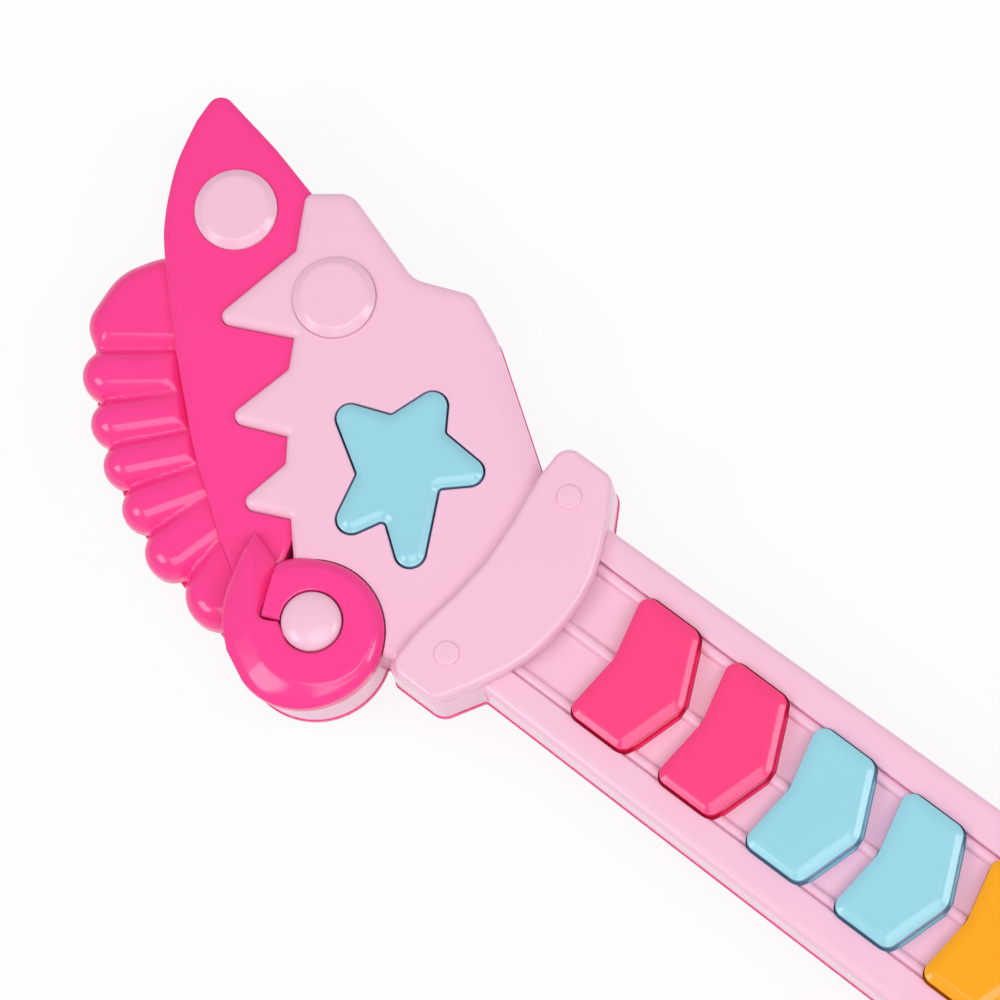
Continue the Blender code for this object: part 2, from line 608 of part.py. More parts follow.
# ---- body casing
NECK_ROOM = NECK_BUTT_HALF + GAP
SHOULDER = [(NECK_FACE, 27.0, 3.0), (86.0, 33.0, 12.0), (111.0, 50.0, 10.0), (84.0, 88.0, 30.0),
            (20.0, 64.0, 45.0), (-40.0, 96.0, 50.0), (BODY_TAIL, 88.0, 56.0)]
body_corners = mirrored(SHOULDER) + SHOULDER
SPEAKER_OPENING = GRILLE_R - 6.0
SKIN_LOW = BODY_TOP - BODY_SKIN
CELL_ROOM = 0.4
BATTERY_HALF = BATTERY_LENGTH / 2 + CONTACT + 3 * CELL_ROOM
BATTERY_SIDE = BATTERY_PITCH + BATTERY_R + CELL_ROOM
DOOR_X0 = BATTERY_X - BATTERY_HALF
DOOR_X1 = BATTERY_X + BATTERY_HALF + 2 * DOOR_MARGIN
BATTERY_FLOOR = DOOR_THICK + 2 * GAP
BATTERY_ROOF = BATTERY_FLOOR + 2 * BATTERY_R + GAP
BOX_WALL = 1.6
BODY_SCREWS = [(-88.0, 54.0), (-88.0, -66.0), (58.0, 58.0), (58.0, -58.0)]
STRUM_AXIS_Z = SKIN_LOW - 4.0
STRUM_TOP = BODY_TOP + STRUM_PROUD
STRUM_SLOT = STRUM_WIDTH / 2 + (STRUM_TOP - STRUM_AXIS_Z) * math.sin(math.radians(STRUM_SWING)) * 0.75
CHEEK = 3.0
CHEEK_X = STRUM_LENGTH / 2 + 1.0
GUARD_BASE = BODY_TOP + GAP
BUTTON_BASE = SKIN_LOW - GAP - LIP_THICK
BUTTON_SHEET_TOP = BUTTON_BASE - BUTTON_TRAVEL - GAP
BUTTON_BOARD = BUTTON_SHEET_TOP - 2 * SHEET - GAP
SPINDLE_R = 4.0
SLIDE_ROOM = 0.5
switch_room = (SWITCH_X - SWITCH_LENGTH / 2 - SLIDE_ROOM,
               SWITCH_X + SWITCH_LENGTH / 2 + SWITCH_TRAVEL + SLIDE_ROOM)

top = add("body_front_shell", prism(fillet(body_corners, 8), BODY_SEAM, BODY_TOP, BODY_EDGE, 2), PALE)
cut(top, "body_front_hollow", prism(fillet(grow(body_corners, -WALL), 2), BODY_SEAM - 5, SKIN_LOW))
join(top, "body_front_bosses", *[disc(x, y, BOSS_R, BODY_SEAM, SKIN_LOW + 0.6, 12) for x, y in BODY_SCREWS])
CHEEK_DROP = 4.0          # below the axle
for side, end in ((-1, "tail"), (1, "neck")):
    centre = STRUM_X + side * (CHEEK_X + CHEEK / 2)
    join(top, f"strum_cheek_{end}", block(
        centre - CHEEK / 2, centre + CHEEK / 2, STRUM_Y - STRUM_WIDTH / 2, STRUM_Y + STRUM_WIDTH / 2,
        STRUM_AXIS_Z - CHEEK_DROP, SKIN_LOW + 0.6))
cut(top, "neck_socket", block(NECK_FACE - 8, NECK_FACE + 8, -NECK_ROOM, NECK_ROOM, BODY_SEAM - 5, FACE + GAP))
axle_bore = laid_along(disc(0, 0, AXLE_R + AXLE_CLEAR, -CHEEK_X - CHEEK - 3, CHEEK_X + CHEEK + 3), "X")
bmesh.ops.translate(axle_bore, verts=axle_bore.verts, vec=(STRUM_X, STRUM_Y, STRUM_AXIS_Z))
cut(top, "strum_axle_bore", axle_bore)
cut(top, "face_openings",
    block(STRUM_X - CHEEK_X, STRUM_X + CHEEK_X, STRUM_Y - STRUM_SLOT, STRUM_Y + STRUM_SLOT,
          SKIN_LOW - 1, BODY_TOP + 5),
    disc(SPEAKER_X, SPEAKER_Y, SPEAKER_OPENING, SKIN_LOW - 3, BODY_TOP + 5, 18),
    *[disc(x, BUTTON_Y, BUTTON_R + BUTTON_CLEAR, SKIN_LOW - 3, BODY_TOP + 5, 16) for x in BUTTON_XS],
    block(*switch_room, SWITCH_Y - SWITCH_WIDTH / 2 - SLIDE_ROOM, SWITCH_Y + SWITCH_WIDTH / 2 + SLIDE_ROOM,
          SKIN_LOW - 3, BODY_TOP + 5),
    disc(WHAMMY_X, WHAMMY_Y, SPINDLE_R + AXLE_CLEAR, SKIN_LOW - 3, BODY_TOP + 5, 16),
    *[disc(x, y, SCREW_R + GAP, BODY_SEAM - 3, SKIN_LOW - 3, 12) for x, y in BODY_SCREWS])

BOARD_X0, BOARD_X1, BOARD_SIDE = 8.0, NECK_FACE - NECK_TENON - 2.0, 24.0
button_x0, button_x1 = BUTTON_XS[0] - BUTTON_R - 3, BUTTON_XS[-1] + BUTTON_R + 3
BUTTON_POSTS = [((a + b) / 2, BUTTON_Y) for a, b in zip(BUTTON_XS, BUTTON_XS[1:])]
BOARD_POSTS = [((BOARD_X0 + BOARD_X1) / 2, side * (BOARD_SIDE - 6)) for side in (-1, 1)]
body_rim = BODY_SEAM - GAP
under = add("body_rear_shell", prism(fillet(body_corners, 8), body_rim, 0, BODY_EDGE, 2), HOT)
cut(under, "body_rear_hollow", prism(fillet(grow(body_corners, -WALL), 2), BODY_SKIN, body_rim + 5))
join(under, "battery_box", block(DOOR_X0 - BOX_WALL, DOOR_X1 + BOX_WALL, -BATTERY_SIDE - BOX_WALL,
                                 BATTERY_SIDE + BOX_WALL, BODY_SKIN - 0.6, BATTERY_ROOF + BOX_WALL))
join(under, "body_rear_bosses", *[disc(x, y, BOSS_R, BODY_SKIN - 0.6, body_rim, 12) for x, y in BODY_SCREWS],
     *[disc(x, y, BOSS_R, BODY_SKIN - 0.6, NECK_BACK - GAP, 12) for x, y in JOINT_SCREWS],
     *[disc(x, y, POST_R, BODY_SKIN - 0.6, BUTTON_BOARD - GAP, 10) for x, y in BUTTON_POSTS],
     *[disc(x, y, POST_R, BODY_SKIN - 0.6, BOARD_UNDER - GAP, 10) for x, y in BOARD_POSTS])
cut(under, "battery_room", block(DOOR_X0, BATTERY_X + BATTERY_HALF, -BATTERY_SIDE, BATTERY_SIDE,
                                 BODY_SKIN - 0.6, BATTERY_ROOF))
cut(under, "door_opening", block(DOOR_X0, DOOR_X1, -BATTERY_SIDE, BATTERY_SIDE, -3, BODY_SKIN))
SCREW_IN = 0.6
DOOR_SCREW_X = DOOR_X1 - DOOR_MARGIN
cut(under, "body_rear_bores",
    *[screw_bore(x, y, -2, SCREW_IN, body_rim + 2) for x, y in BODY_SCREWS],
    *[screw_bore(x, y, -2, SCREW_IN, NECK_BACK) for x, y in JOINT_SCREWS],
    disc(DOOR_SCREW_X, 0, SCREW_R + 3 * GAP, BODY_SKIN - 1, BODY_SKIN + 7, 12),
    block(NECK_FACE - 8, NECK_FACE + 8, -NECK_ROOM, NECK_ROOM, NECK_BACK - GAP, body_rim + 5))

# ---- plates on the body's face
GUARD = [(58.0, -24.0, 6.0), (58.0, 24.0, 6.0), (40.0, 46.0, 10.0), (8.0, 50.0, 12.0), (-33.0, 52.0, 3.0),
         (-20.0, 35.0, 1.0), (-46.0, 26.0, 2.5), (-33.0, 14.0, 1.0), (-50.0, 4.0, 2.5), (-34.0, -16.0, 1.0),
         (-46.0, -28.0, 2.5), (-20.0, -32.0, 1.0), (-12.0, -42.0, 3.0), (18.0, -40.0, 8.0),
         (40.0, -42.0, 8.0)]
guard_top = GUARD_BASE + GUARD_THICK
guard = add("pickguard", prism(fillet(GUARD), GUARD_BASE, guard_top, 0.8), HOT)
cut(guard, "guard_slot", block(STRUM_X - CHEEK_X, STRUM_X + CHEEK_X, STRUM_Y - STRUM_SLOT,
                               STRUM_Y + STRUM_SLOT, GUARD_BASE - 2, guard_top + 2))

GRILLE_THICK = 2.0
grille = add("speaker_grille", turned([(0, 0), (GRILLE_R, 0), (GRILLE_R, 1.0), (GRILLE_R - 1.2, GRILLE_THICK),
                                       (0, GRILLE_THICK)], 24), BLUE, (SPEAKER_X, SPEAKER_Y, GUARD_BASE))
slots = []
for row in range(-2, 3):
    y = row * 2.4 * SLOT_WIDTH
    reach = math.sqrt((SPEAKER_OPENING - 1.5) ** 2 - y * y)
    slots.append(block(-reach, reach, y - SLOT_WIDTH / 2, y + SLOT_WIDTH / 2, -2, 6))
cut(grille, "grille_slots", *slots)

SPEAKER_RIM = 2.5
MAGNET_R = 10.0
speaker_top = SKIN_LOW - GAP
speaker_low = BATTERY_ROOF + BOX_WALL + GAP
add("speaker", turned([(0, speaker_low), (MAGNET_R, speaker_low), (MAGNET_R, speaker_low + 4),
                       (SPEAKER_R, speaker_top - SPEAKER_RIM), (SPEAKER_R, speaker_top),
                       (SPEAKER_R - 4, speaker_top), (MAGNET_R - 3, speaker_low + 6),
                       (0, speaker_low + 7)], 20, SPEAKER_X, SPEAKER_Y), BLACK, rough=0.6)

# ---- sound buttons with their rubber and board
BUTTON_LIP = 1.0
lip_r = BUTTON_R + BUTTON_CLEAR + BUTTON_LIP
button_height = BODY_TOP + BUTTON_PROUD - BUTTON_BASE
for number, (x, code) in enumerate(zip(BUTTON_XS, (BLUE, ORANGE, HOT)), 1):
    add(f"sound_button_{number}",
        turned([(0, 0), (lip_r, 0), (lip_r, LIP_THICK), (BUTTON_R, LIP_THICK),
                (BUTTON_R, button_height - 1.6), (BUTTON_R - 1.4, button_height),
                (0, button_height + 0.5)], 16),
        code, (x, BUTTON_Y, BUTTON_BASE))
STRIP_HALF = 9.0
for name, low, code in (("button_rubber_sheet", BUTTON_SHEET_TOP - SHEET, CREAM),
                        ("button_circuit_board", BUTTON_BOARD, GREEN)):
    add(name, block(button_x0, button_x1, BUTTON_Y - STRIP_HALF, BUTTON_Y + STRIP_HALF,
                    low, low + SHEET - GAP), code, rough=0.6)
add("main_circuit_board", block(BOARD_X0, BOARD_X1, -BOARD_SIDE, BOARD_SIDE,
                                BOARD_UNDER, BOARD_UNDER + SHEET), GREEN, rough=0.6)
add("neck_ribbon", block(BOARD_X1 - RIBBON_GRASP, board_start + RIBBON_GRASP, -RIBBON_HALF, RIBBON_HALF,
                         STRIP_TOP - RIBBON_THICK, STRIP_TOP), CREAM)
MODULE_TOP = BOARD_UNDER + SHEET
module_x0 = BOARD_X0 + 8.0
MODULE_SIDE, MODULE_TALL = 12.0, 3.0
add("sound_module", block(module_x0, module_x0 + MODULE_SIDE, -MODULE_SIDE / 2, MODULE_SIDE / 2,
                          MODULE_TOP + GAP, MODULE_TOP + MODULE_TALL), BLACK, rough=0.5)

# ---- power switch
knob_low = SKIN_LOW - GAP - LIP_THICK
KNOB_PROUD = 2.6
SWITCH_LIP = 1.5
knob = add("power_switch", block(-SWITCH_LENGTH / 2, SWITCH_LENGTH / 2, -SWITCH_WIDTH / 2, SWITCH_WIDTH / 2,
                                 0, BODY_TOP + KNOB_PROUD - knob_low), ORANGE, (SWITCH_X, SWITCH_Y, knob_low))
join(knob, "switch_lip", block(-SWITCH_LENGTH / 2 - SWITCH_LIP, SWITCH_LENGTH / 2 + SWITCH_LIP,
                               -SWITCH_WIDTH / 2 - SWITCH_LIP, SWITCH_WIDTH / 2 + SWITCH_LIP,
                               -0.001, LIP_THICK))
SWITCH_DEEP, SWITCH_HALF = 6.0, 5.0
add("switch_body", block(*switch_room, SWITCH_Y - SWITCH_HALF, SWITCH_Y + SWITCH_HALF,
                         knob_low - GAP - SWITCH_DEEP, knob_low - GAP), BLACK, rough=0.5)

# ---- strum bar on its axle
blade = STRUM_TOP - STRUM_AXIS_Z
strum_side = [(STRUM_WIDTH / 2, -1.5), (STRUM_WIDTH / 2, 5.0), (2.6, blade - 0.8), (1.2, blade)]
strum_side = [(0, -4.5)] + strum_side + [(-across, up) for across, up in reversed(strum_side)]
strum = laid_along(prism(strum_side, -STRUM_LENGTH / 2, STRUM_LENGTH / 2), "X")
bmesh.ops.rotate(strum, verts=strum.verts, cent=(0, 0, 0), matrix=Matrix.Rotation(math.radians(90), 3, "X"))
bar = add("strum_bar", strum, ORANGE, (STRUM_X, STRUM_Y, STRUM_AXIS_Z))
cut(bar, "strum_bore", laid_along(disc(0, 0, AXLE_R + AXLE_CLEAR, -STRUM_LENGTH, STRUM_LENGTH), "X"))
add("strum_axle", laid_along(disc(0, 0, AXLE_R, -CHEEK_X - CHEEK, CHEEK_X + CHEEK), "X"), STEEL,
    (STRUM_X, STRUM_Y, STRUM_AXIS_Z), 0.3, 1.0)

# ---- whammy bar, its hub turning on the face
HUB_TALL = 9.0
hub_z = BODY_TOP + GAP
rod_z = hub_z + HUB_TALL - WHAMMY_ROD - 0.6
spindle_low = SKIN_LOW - 2.5
WHAMMY_LEAN = 160.0
hub = add("whammy_bar", turned([(0, spindle_low - hub_z), (SPINDLE_R, spindle_low - hub_z), (SPINDLE_R, 0),
                                (HUB_R, 0), (HUB_R, HUB_TALL - 1), (HUB_R - 1, HUB_TALL), (0, HUB_TALL)], 20),
          PALE, (WHAMMY_X, WHAMMY_Y, hub_z), 0.2)
rod = laid_along(disc(0, 0, WHAMMY_ROD, 0, WHAMMY_REACH, 10), "X")
bmesh.ops.translate(rod, verts=rod.verts, vec=(0, 0, rod_z - hub_z))
lean = Matrix.Rotation(math.radians(WHAMMY_LEAN), 3, "Z")
bmesh.ops.rotate(rod, verts=rod.verts, cent=(0, 0, 0), matrix=lean)
join(hub, "whammy_rod", rod)
GRIP_R, GRIP_LENGTH, GRIP_GRASP = 4.6, 16.0, 10.0
grip = laid_along(turned([(WHAMMY_ROD + GAP, 0), (GRIP_R - 0.8, 0), (GRIP_R, 2), (GRIP_R, GRIP_LENGTH - 3),
                          (GRIP_R - 1.6, GRIP_LENGTH - 0.6), (0, GRIP_LENGTH), (0, GRIP_GRASP),
                          (WHAMMY_ROD + GAP, GRIP_GRASP), (WHAMMY_ROD + GAP, 0)], 14), "X")
bmesh.ops.translate(grip, verts=grip.verts, vec=(WHAMMY_REACH - GRIP_GRASP + GAP, 0, rod_z - hub_z))
bmesh.ops.rotate(grip, verts=grip.verts, cent=(0, 0, 0), matrix=lean)
add("whammy_grip", grip, ORANGE, (WHAMMY_X, WHAMMY_Y, hub_z))
clip_low = spindle_low - 1.6
clip_in, clip_out = SPINDLE_R - 1.2, HUB_R - 2.0
add("whammy_clip", turned([(clip_in, 0), (clip_out, 0), (clip_out, 1.2), (clip_in, 1.2), (clip_in, 0)], 14),
    STEEL, (WHAMMY_X, WHAMMY_Y, clip_low), 0.4, 1.0)

# ---- batteries behind their door
cell = [(0, -BATTERY_LENGTH / 2), (BATTERY_R, -BATTERY_LENGTH / 2), (BATTERY_R, BATTERY_LENGTH / 2 - 1.6),
        (2.6, BATTERY_LENGTH / 2 - 1.6), (2.6, BATTERY_LENGTH / 2), (0, BATTERY_LENGTH / 2)]
cell_z = BATTERY_FLOOR + BATTERY_R
for number in range(3):
    battery = laid_along(turned(cell, 16), "X")
    if number == 1:
        turned_round = Matrix.Rotation(math.pi, 3, "Z")
        bmesh.ops.rotate(battery, verts=battery.verts, cent=(0, 0, 0), matrix=turned_round)
    add(f"battery_{number + 1}", battery, NAVY, (BATTERY_X, (number - 1) * BATTERY_PITCH, cell_z), 0.3, 0.2)
contact_x = BATTERY_HALF - CELL_ROOM / 2 - CONTACT / 2
for name, side in (("battery_contact_tail", -1), ("battery_contact_neck", 1)):
    centre = BATTERY_X + side * contact_x
    add(name, block(centre - CONTACT / 2, centre + CONTACT / 2, -BATTERY_SIDE + 2, BATTERY_SIDE - 2,
                    BATTERY_FLOOR + 1, BATTERY_ROOF - GAP), STEEL, rough=0.3, metal=1.0)
door_x = DOOR_X0 + GAP
door = add("battery_door", block(0, DOOR_X1 - GAP - door_x, -BATTERY_SIDE + GAP, BATTERY_SIDE - GAP,
                                 0, DOOR_THICK - GAP), HOT, (door_x, 0, GAP))
cut(door, "door_screw_hole", screw_bore(DOOR_SCREW_X - door_x, 0, -3, -0.2, 6))
screw("battery_door_screw", DOOR_SCREW_X, 0, GAP + 0.1, 6.5, at=(door_x, 0, GAP))

# ---- case screws
for number, (x, y) in enumerate(CASING_SCREWS, 1):
    screw(f"neck_screw_{number}", x, y, NECK_BACK + 0.9, SKIN_UNDER - NECK_BACK - 3.6)
for number, (x, y) in enumerate(BODY_SCREWS, 1):
    screw(f"body_screw_{number}", x, y, SCREW_IN + GAP, SKIN_LOW - 6.0)
for number, (x, y) in enumerate(JOINT_SCREWS, 1):
    screw(f"joint_screw_{number}", x, y, SCREW_IN + GAP, rim - 3.2)
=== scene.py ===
"""Looks of a toy electric guitar: moulded ABS shells, chevron keys and a fan-edged head.

Lengths are in millimetres and become metres where a mesh is made. The guitar lies on its back,
+X towards the head, +Y to the fan side, +Z out of its face. Outlines of the head and neck are
written from the nut (x) and the neck's centreline (y).
"""
import math

import bmesh
import bpy
from mathutils import Matrix, Vector


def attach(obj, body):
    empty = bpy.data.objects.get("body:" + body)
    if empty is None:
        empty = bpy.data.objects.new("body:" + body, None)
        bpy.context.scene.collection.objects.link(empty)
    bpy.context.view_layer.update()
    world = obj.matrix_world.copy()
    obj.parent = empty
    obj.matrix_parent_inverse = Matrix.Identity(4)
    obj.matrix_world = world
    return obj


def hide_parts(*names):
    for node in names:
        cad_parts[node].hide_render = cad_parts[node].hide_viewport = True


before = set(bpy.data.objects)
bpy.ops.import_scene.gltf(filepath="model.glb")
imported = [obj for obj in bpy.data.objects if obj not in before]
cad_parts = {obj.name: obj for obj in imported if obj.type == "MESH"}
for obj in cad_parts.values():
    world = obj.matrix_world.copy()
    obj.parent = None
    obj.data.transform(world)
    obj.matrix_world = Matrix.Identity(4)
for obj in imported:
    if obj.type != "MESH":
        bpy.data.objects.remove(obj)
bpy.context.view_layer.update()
MM = 0.001

# ================================================================ stage, lights and camera
# A pale floor under plain studio light: one broad overhead softbox and two smaller ones that
# lay the soft round highlights at the lower left and the right of every rounded edge.
AIM = Vector((282.4, -12.0, 28.0)) * MM      # what the photo's centre shows
CAMERA_TURN, CAMERA_TILT, CAMERA_ROLL = 239.5, 16.12, -21.93   # degrees; the head points up and left
CAMERA_AWAY = 1.5                            # metres
FRAME_WIDTH = 0.2                            # metres across the picture at the face


def linear(code, alpha=1.0):
    """Linear colour from an sRGB hex code."""
    parts = [int(code[place:place + 2], 16) / 255 for place in (0, 2, 4)]
    return [p / 12.92 if p <= 0.04045 else ((p + 0.055) / 1.055) ** 2.4 for p in parts] + [alpha]


def add_node(tree, kind, links=None, **settings):
    """Add a node; settings name its properties or its sockets, links feed its sockets."""
    made = tree.nodes.new(kind)
    for name, value in settings.items():
        if hasattr(made, name):
            setattr(made, name, value)
        else:
            made.inputs[name.replace("_", " ")].default_value = value
    for name, source in (links or {}).items():
        tree.links.new(source, made.inputs[name])
    return made


def background_rays(tree):
    """1 for the rays that show the backdrop: straight, mirrored or refracted."""
    rays = add_node(tree, "ShaderNodeLightPath").outputs
    seen = add_node(tree, "ShaderNodeMath", {0: rays["Is Camera Ray"], 1: rays["Is Glossy Ray"]},
                    operation="MAXIMUM")
    return add_node(tree, "ShaderNodeMath", {0: seen.outputs[0], 1: rays["Is Transmission Ray"]},
                    operation="MAXIMUM").outputs[0]


WORLD_LEVEL = 0.47                           # light that comes from all round
world = bpy.data.worlds.new("studio_air")
bpy.context.scene.world = world
world.use_nodes = True
world.node_tree.nodes.clear()
air = add_node(world.node_tree, "ShaderNodeBackground", Strength=WORLD_LEVEL)
white = add_node(world.node_tree, "ShaderNodeBackground", Strength=1.0)
white.inputs["Color"].default_value = air.inputs["Color"].default_value = (1, 1, 1, 1)
only_camera = add_node(world.node_tree, "ShaderNodeLightPath").outputs["Is Camera Ray"]
sky = add_node(world.node_tree, "ShaderNodeMixShader",
               {0: only_camera, 1: air.outputs[0], 2: white.outputs[0]})
add_node(world.node_tree, "ShaderNodeOutputWorld", {"Surface": sky.outputs[0]})

SHADOW_SHARE = 0.12                          # how much of the floor's shading shows in the picture
paper = bpy.data.materials.new("white_background_paper")
paper.use_nodes = True
paper.node_tree.nodes.clear()
matt = add_node(paper.node_tree, "ShaderNodeBsdfDiffuse", Color=linear("F4F4F4"))
glow = add_node(paper.node_tree, "ShaderNodeEmission", Strength=1.0)
share = add_node(paper.node_tree, "ShaderNodeMath", {0: background_rays(paper.node_tree)},
                 operation="MULTIPLY")
share.inputs[1].default_value = 1 - SHADOW_SHARE
lit = add_node(paper.node_tree, "ShaderNodeMixShader",
               {0: share.outputs[0], 1: matt.outputs[0], 2: glow.outputs[0]})
add_node(paper.node_tree, "ShaderNodeOutputMaterial", {"Surface": lit.outputs[0]})

FLOOR_HALF = 4.0
floor_bm = bmesh.new()
bmesh.ops.create_grid(floor_bm, x_segments=1, y_segments=1, size=FLOOR_HALF)
floor_mesh = bpy.data.meshes.new("paper_floor")
floor_bm.to_mesh(floor_mesh)
floor_bm.free()
floor_mesh.materials.append(paper)
paper_floor = bpy.data.objects.new("paper_floor", floor_mesh)
bpy.context.scene.collection.objects.link(paper_floor)

picture_turn = Matrix.Rotation(math.radians(CAMERA_TURN + CAMERA_ROLL), 4, "Z")
camera = bpy.data.objects.new("camera", bpy.data.cameras.new("camera"))
camera.matrix_world = (Matrix.Translation(AIM) @ Matrix.Rotation(math.radians(CAMERA_TURN), 4, "Z")
                       @ Matrix.Rotation(math.radians(CAMERA_TILT), 4, "X")
                       @ Matrix.Rotation(math.radians(CAMERA_ROLL), 4, "Z")
                       @ Matrix.Translation((0, 0, CAMERA_AWAY)))
camera.data.angle = 2 * math.atan(FRAME_WIDTH / 2 / CAMERA_AWAY)
bpy.context.scene.collection.objects.link(camera)
bpy.context.scene.camera = camera
bpy.context.scene.view_settings.view_transform = "Standard"

# Softboxes: name, bearing from the picture's right (degrees), height above the floor (degrees),
# distance and width (metres), power (watts)
SOFTBOXES = [("overhead", 292.0, 68.0, 1.5, 1.0, 7.6),
             ("lower_left", 205.0, 46.0, 1.1, 0.45, 2.8),
             ("right", -8.0, 46.0, 1.1, 0.36, 1.9)]
for name, bearing, height, away, width, power in SOFTBOXES:
    lamp = bpy.data.objects.new(name + "_softbox", bpy.data.lights.new(name + "_softbox", "AREA"))
    lamp.data.size = width
    lamp.data.energy = power
    lean = (Matrix.Rotation(math.radians(bearing + 90), 4, "Z")
            @ Matrix.Rotation(math.radians(90 - height), 4, "X"))
    lamp.matrix_world = Matrix.Translation(AIM) @ picture_turn @ lean @ Matrix.Translation((0, 0, away))
    bpy.context.scene.collection.objects.link(lamp)


# ================================================================ rear casing of the body
# Hot pink ABS shell, injection moulded as one dish with screw bosses and the battery box
# inside. Its outer edge has a wide round, and screws enter it from the back.
BODY_TOP = 32.0
BODY_SEAM = 16.0
GAP = 0.3                 # clearance between touching pieces
WALL = 2.0
BODY_SKIN = 2.2
BODY_EDGE = 5.0
NUT_X = 266.0
NECK_HALF = 20.6          # at the nut; 3 mm more on each side at the body end
NECK_BUTT_HALF = NECK_HALF + 3.0
NECK_FACE = 64.0
NECK_TENON = 24.0
NECK_BACK = 8.0
BODY_TAIL = -112.0
ROUND_STEPS = 8           # segments in a quarter round
PAST = 5.0                # how far a cutter reaches past what it cuts
SUNK = 0.6                # how deep a post is sunk in the wall that it stands on
COVE = 3.0                # slope between a casing's wall and its skin


def fillet(corners, steps=ROUND_STEPS):
    """Closed outline from (x, y, radius) corners, each rounded by an arc."""
    outline = []
    count = len(corners)
    for index, (x, y, radius) in enumerate(corners):
        here = Vector((x, y))
        back = Vector(corners[index - 1][:2]) - here
        ahead = Vector(corners[(index + 1) % count][:2]) - here
        half = back.angle(ahead) / 2
        if radius <= 0 or half > math.radians(88):
            outline.append((x, y))
            continue
        reach = min(radius / math.tan(half), 0.45 * back.length, 0.45 * ahead.length)
        centre = here + (back.normalized() + ahead.normalized()).normalized() * reach / math.cos(half)
        first = here + back.normalized() * reach - centre
        last = here + ahead.normalized() * reach - centre
        turn = math.atan2(first.x * last.y - first.y * last.x, first.dot(last))
        parts = max(1, math.ceil(steps * abs(turn) / (math.pi / 2) - 0.01))
        for part in range(parts + 1):
            point = centre + Matrix.Rotation(turn * part / parts, 2) @ first
            outline.append((point.x, point.y))
    return outline


def grow(corners, distance):
    """The same corners moved outwards, or inwards where the distance is negative."""
    pairs = zip(corners, corners[1:] + corners[:1])
    if sum(a[0] * b[1] - b[0] * a[1] for a, b in pairs) < 0:
        corners = corners[::-1]
    shifted = []
    count = len(corners)
    for index, (x, y, radius) in enumerate(corners):
        before = (Vector((x, y)) - Vector(corners[index - 1][:2])).normalized()
        after = (Vector(corners[(index + 1) % count][:2]) - Vector((x, y))).normalized()
        bisector = Vector((before.y + after.y, -before.x - after.x)).normalized()
        reach = distance / max(bisector.dot(Vector((before.y, -before.x))), 0.3)
        convex = before.x * after.y - before.y * after.x > 0
        fitted = max(radius + distance if convex else radius - distance, 0.3)
        shifted.append((x + bisector.x * reach, y + bisector.y * reach, fitted if radius else 0))
    return shifted


def lofted(sections):
    """Closed solid through sections that all have the same number of points."""
    bm = bmesh.new()
    place = bm.verts.layers.int.new("place")
    verts = [bm.verts.new(point) for point in sections[0]]
    for number, vert in enumerate(verts):
        vert[place] = number
    face = bm.faces.new(verts)
    for section in sections[1:]:
        inside = len(bm.faces) > 1
        made = bmesh.ops.extrude_face_region(bm, geom=[face])["geom"]
        if inside:
            bmesh.ops.delete(bm, geom=[face], context="FACES_ONLY")
        for item in made:
            if isinstance(item, bmesh.types.BMVert):
                item.co = section[item[place]]
            elif isinstance(item, bmesh.types.BMFace):
                face = item
    bmesh.ops.recalc_face_normals(bm, faces=bm.faces)
    return bm


def raised(corners, profile, steps=ROUND_STEPS):
    """Solid whose rings follow the corners, each at a (grow, height) of the profile."""
    return lofted([[(x, y, z) for x, y in fillet(grow(corners, out), steps)] for out, z in profile])


def rounded(z, edge, way=1, out=0.0, parts=6):
    """Profile of a quarter round that ends flat at height z."""
    turns = [math.radians(90 * part / parts) for part in range(parts + 1)]
    return [(out - edge * (1 - math.cos(a)), z - way * edge * (1 - math.sin(a))) for a in turns]


def box_corners(x0, x1, y0, y1, radius=0.8):
    return [(x0, y0, radius), (x1, y0, radius), (x1, y1, radius), (x0, y1, radius)]


def block(x0, x1, y0, y1, z0, z1, edge=0.0):
    """Box between two corners, its upright edges rounded."""
    return raised(box_corners(x0, x1, y0, y1, edge), [(0, z0), (0, z1)], 4)


def turned(corners, x=0.0, y=0.0, z=0.0, steps=64, round_steps=5):
    """Solid of revolution about Z from (radius, height, rounding) corners."""
    bm = bmesh.new()
    verts = [bm.verts.new((radius, 0, height)) for radius, height in fillet(corners, round_steps)]
    edges = [bm.edges.new(pair) for pair in zip(verts, verts[1:] + verts[:1])
             if max(vert.co.x for vert in pair) > 1e-5]
    bmesh.ops.spin(bm, geom=verts + edges, cent=(0, 0, 0), axis=(0, 0, 1),
                   angle=math.tau, steps=steps, use_merge=True)
    bmesh.ops.remove_doubles(bm, verts=bm.verts, dist=1e-4)
    bmesh.ops.translate(bm, verts=bm.verts, vec=(x, y, z))
    bmesh.ops.recalc_face_normals(bm, faces=bm.faces)
    return bm


def disc(x, y, radius, z0, z1, steps=48):
    """Plain round post or hole."""
    return turned([(0, z0, 0), (radius, z0, 0), (radius, z1, 0), (0, z1, 0)], x, y, 0, steps)


def moved(bm, matrix):
    bmesh.ops.transform(bm, matrix=matrix, verts=bm.verts)
    return bm


def laid_along_x(bm):
    """Turn a solid made along Z to lie along X."""
    return moved(bm, Matrix.Rotation(math.radians(90), 4, "Y"))


def spare_object(*solids):
    """Short-lived object that holds the solids; their meshes are used up."""
    whole = bmesh.new()
    for solid in solids:
        mesh = bpy.data.meshes.new("spare")
        solid.to_mesh(mesh)
        solid.free()
        whole.from_mesh(mesh)
        bpy.data.meshes.remove(mesh)
    mesh = bpy.data.meshes.new("spare")
    whole.to_mesh(mesh)
    whole.free()
    item = bpy.data.objects.new("spare", mesh)
    bpy.context.scene.collection.objects.link(item)
    return item


def discard(item):
    mesh = item.data
    bpy.data.objects.remove(item)
    bpy.data.meshes.remove(mesh)


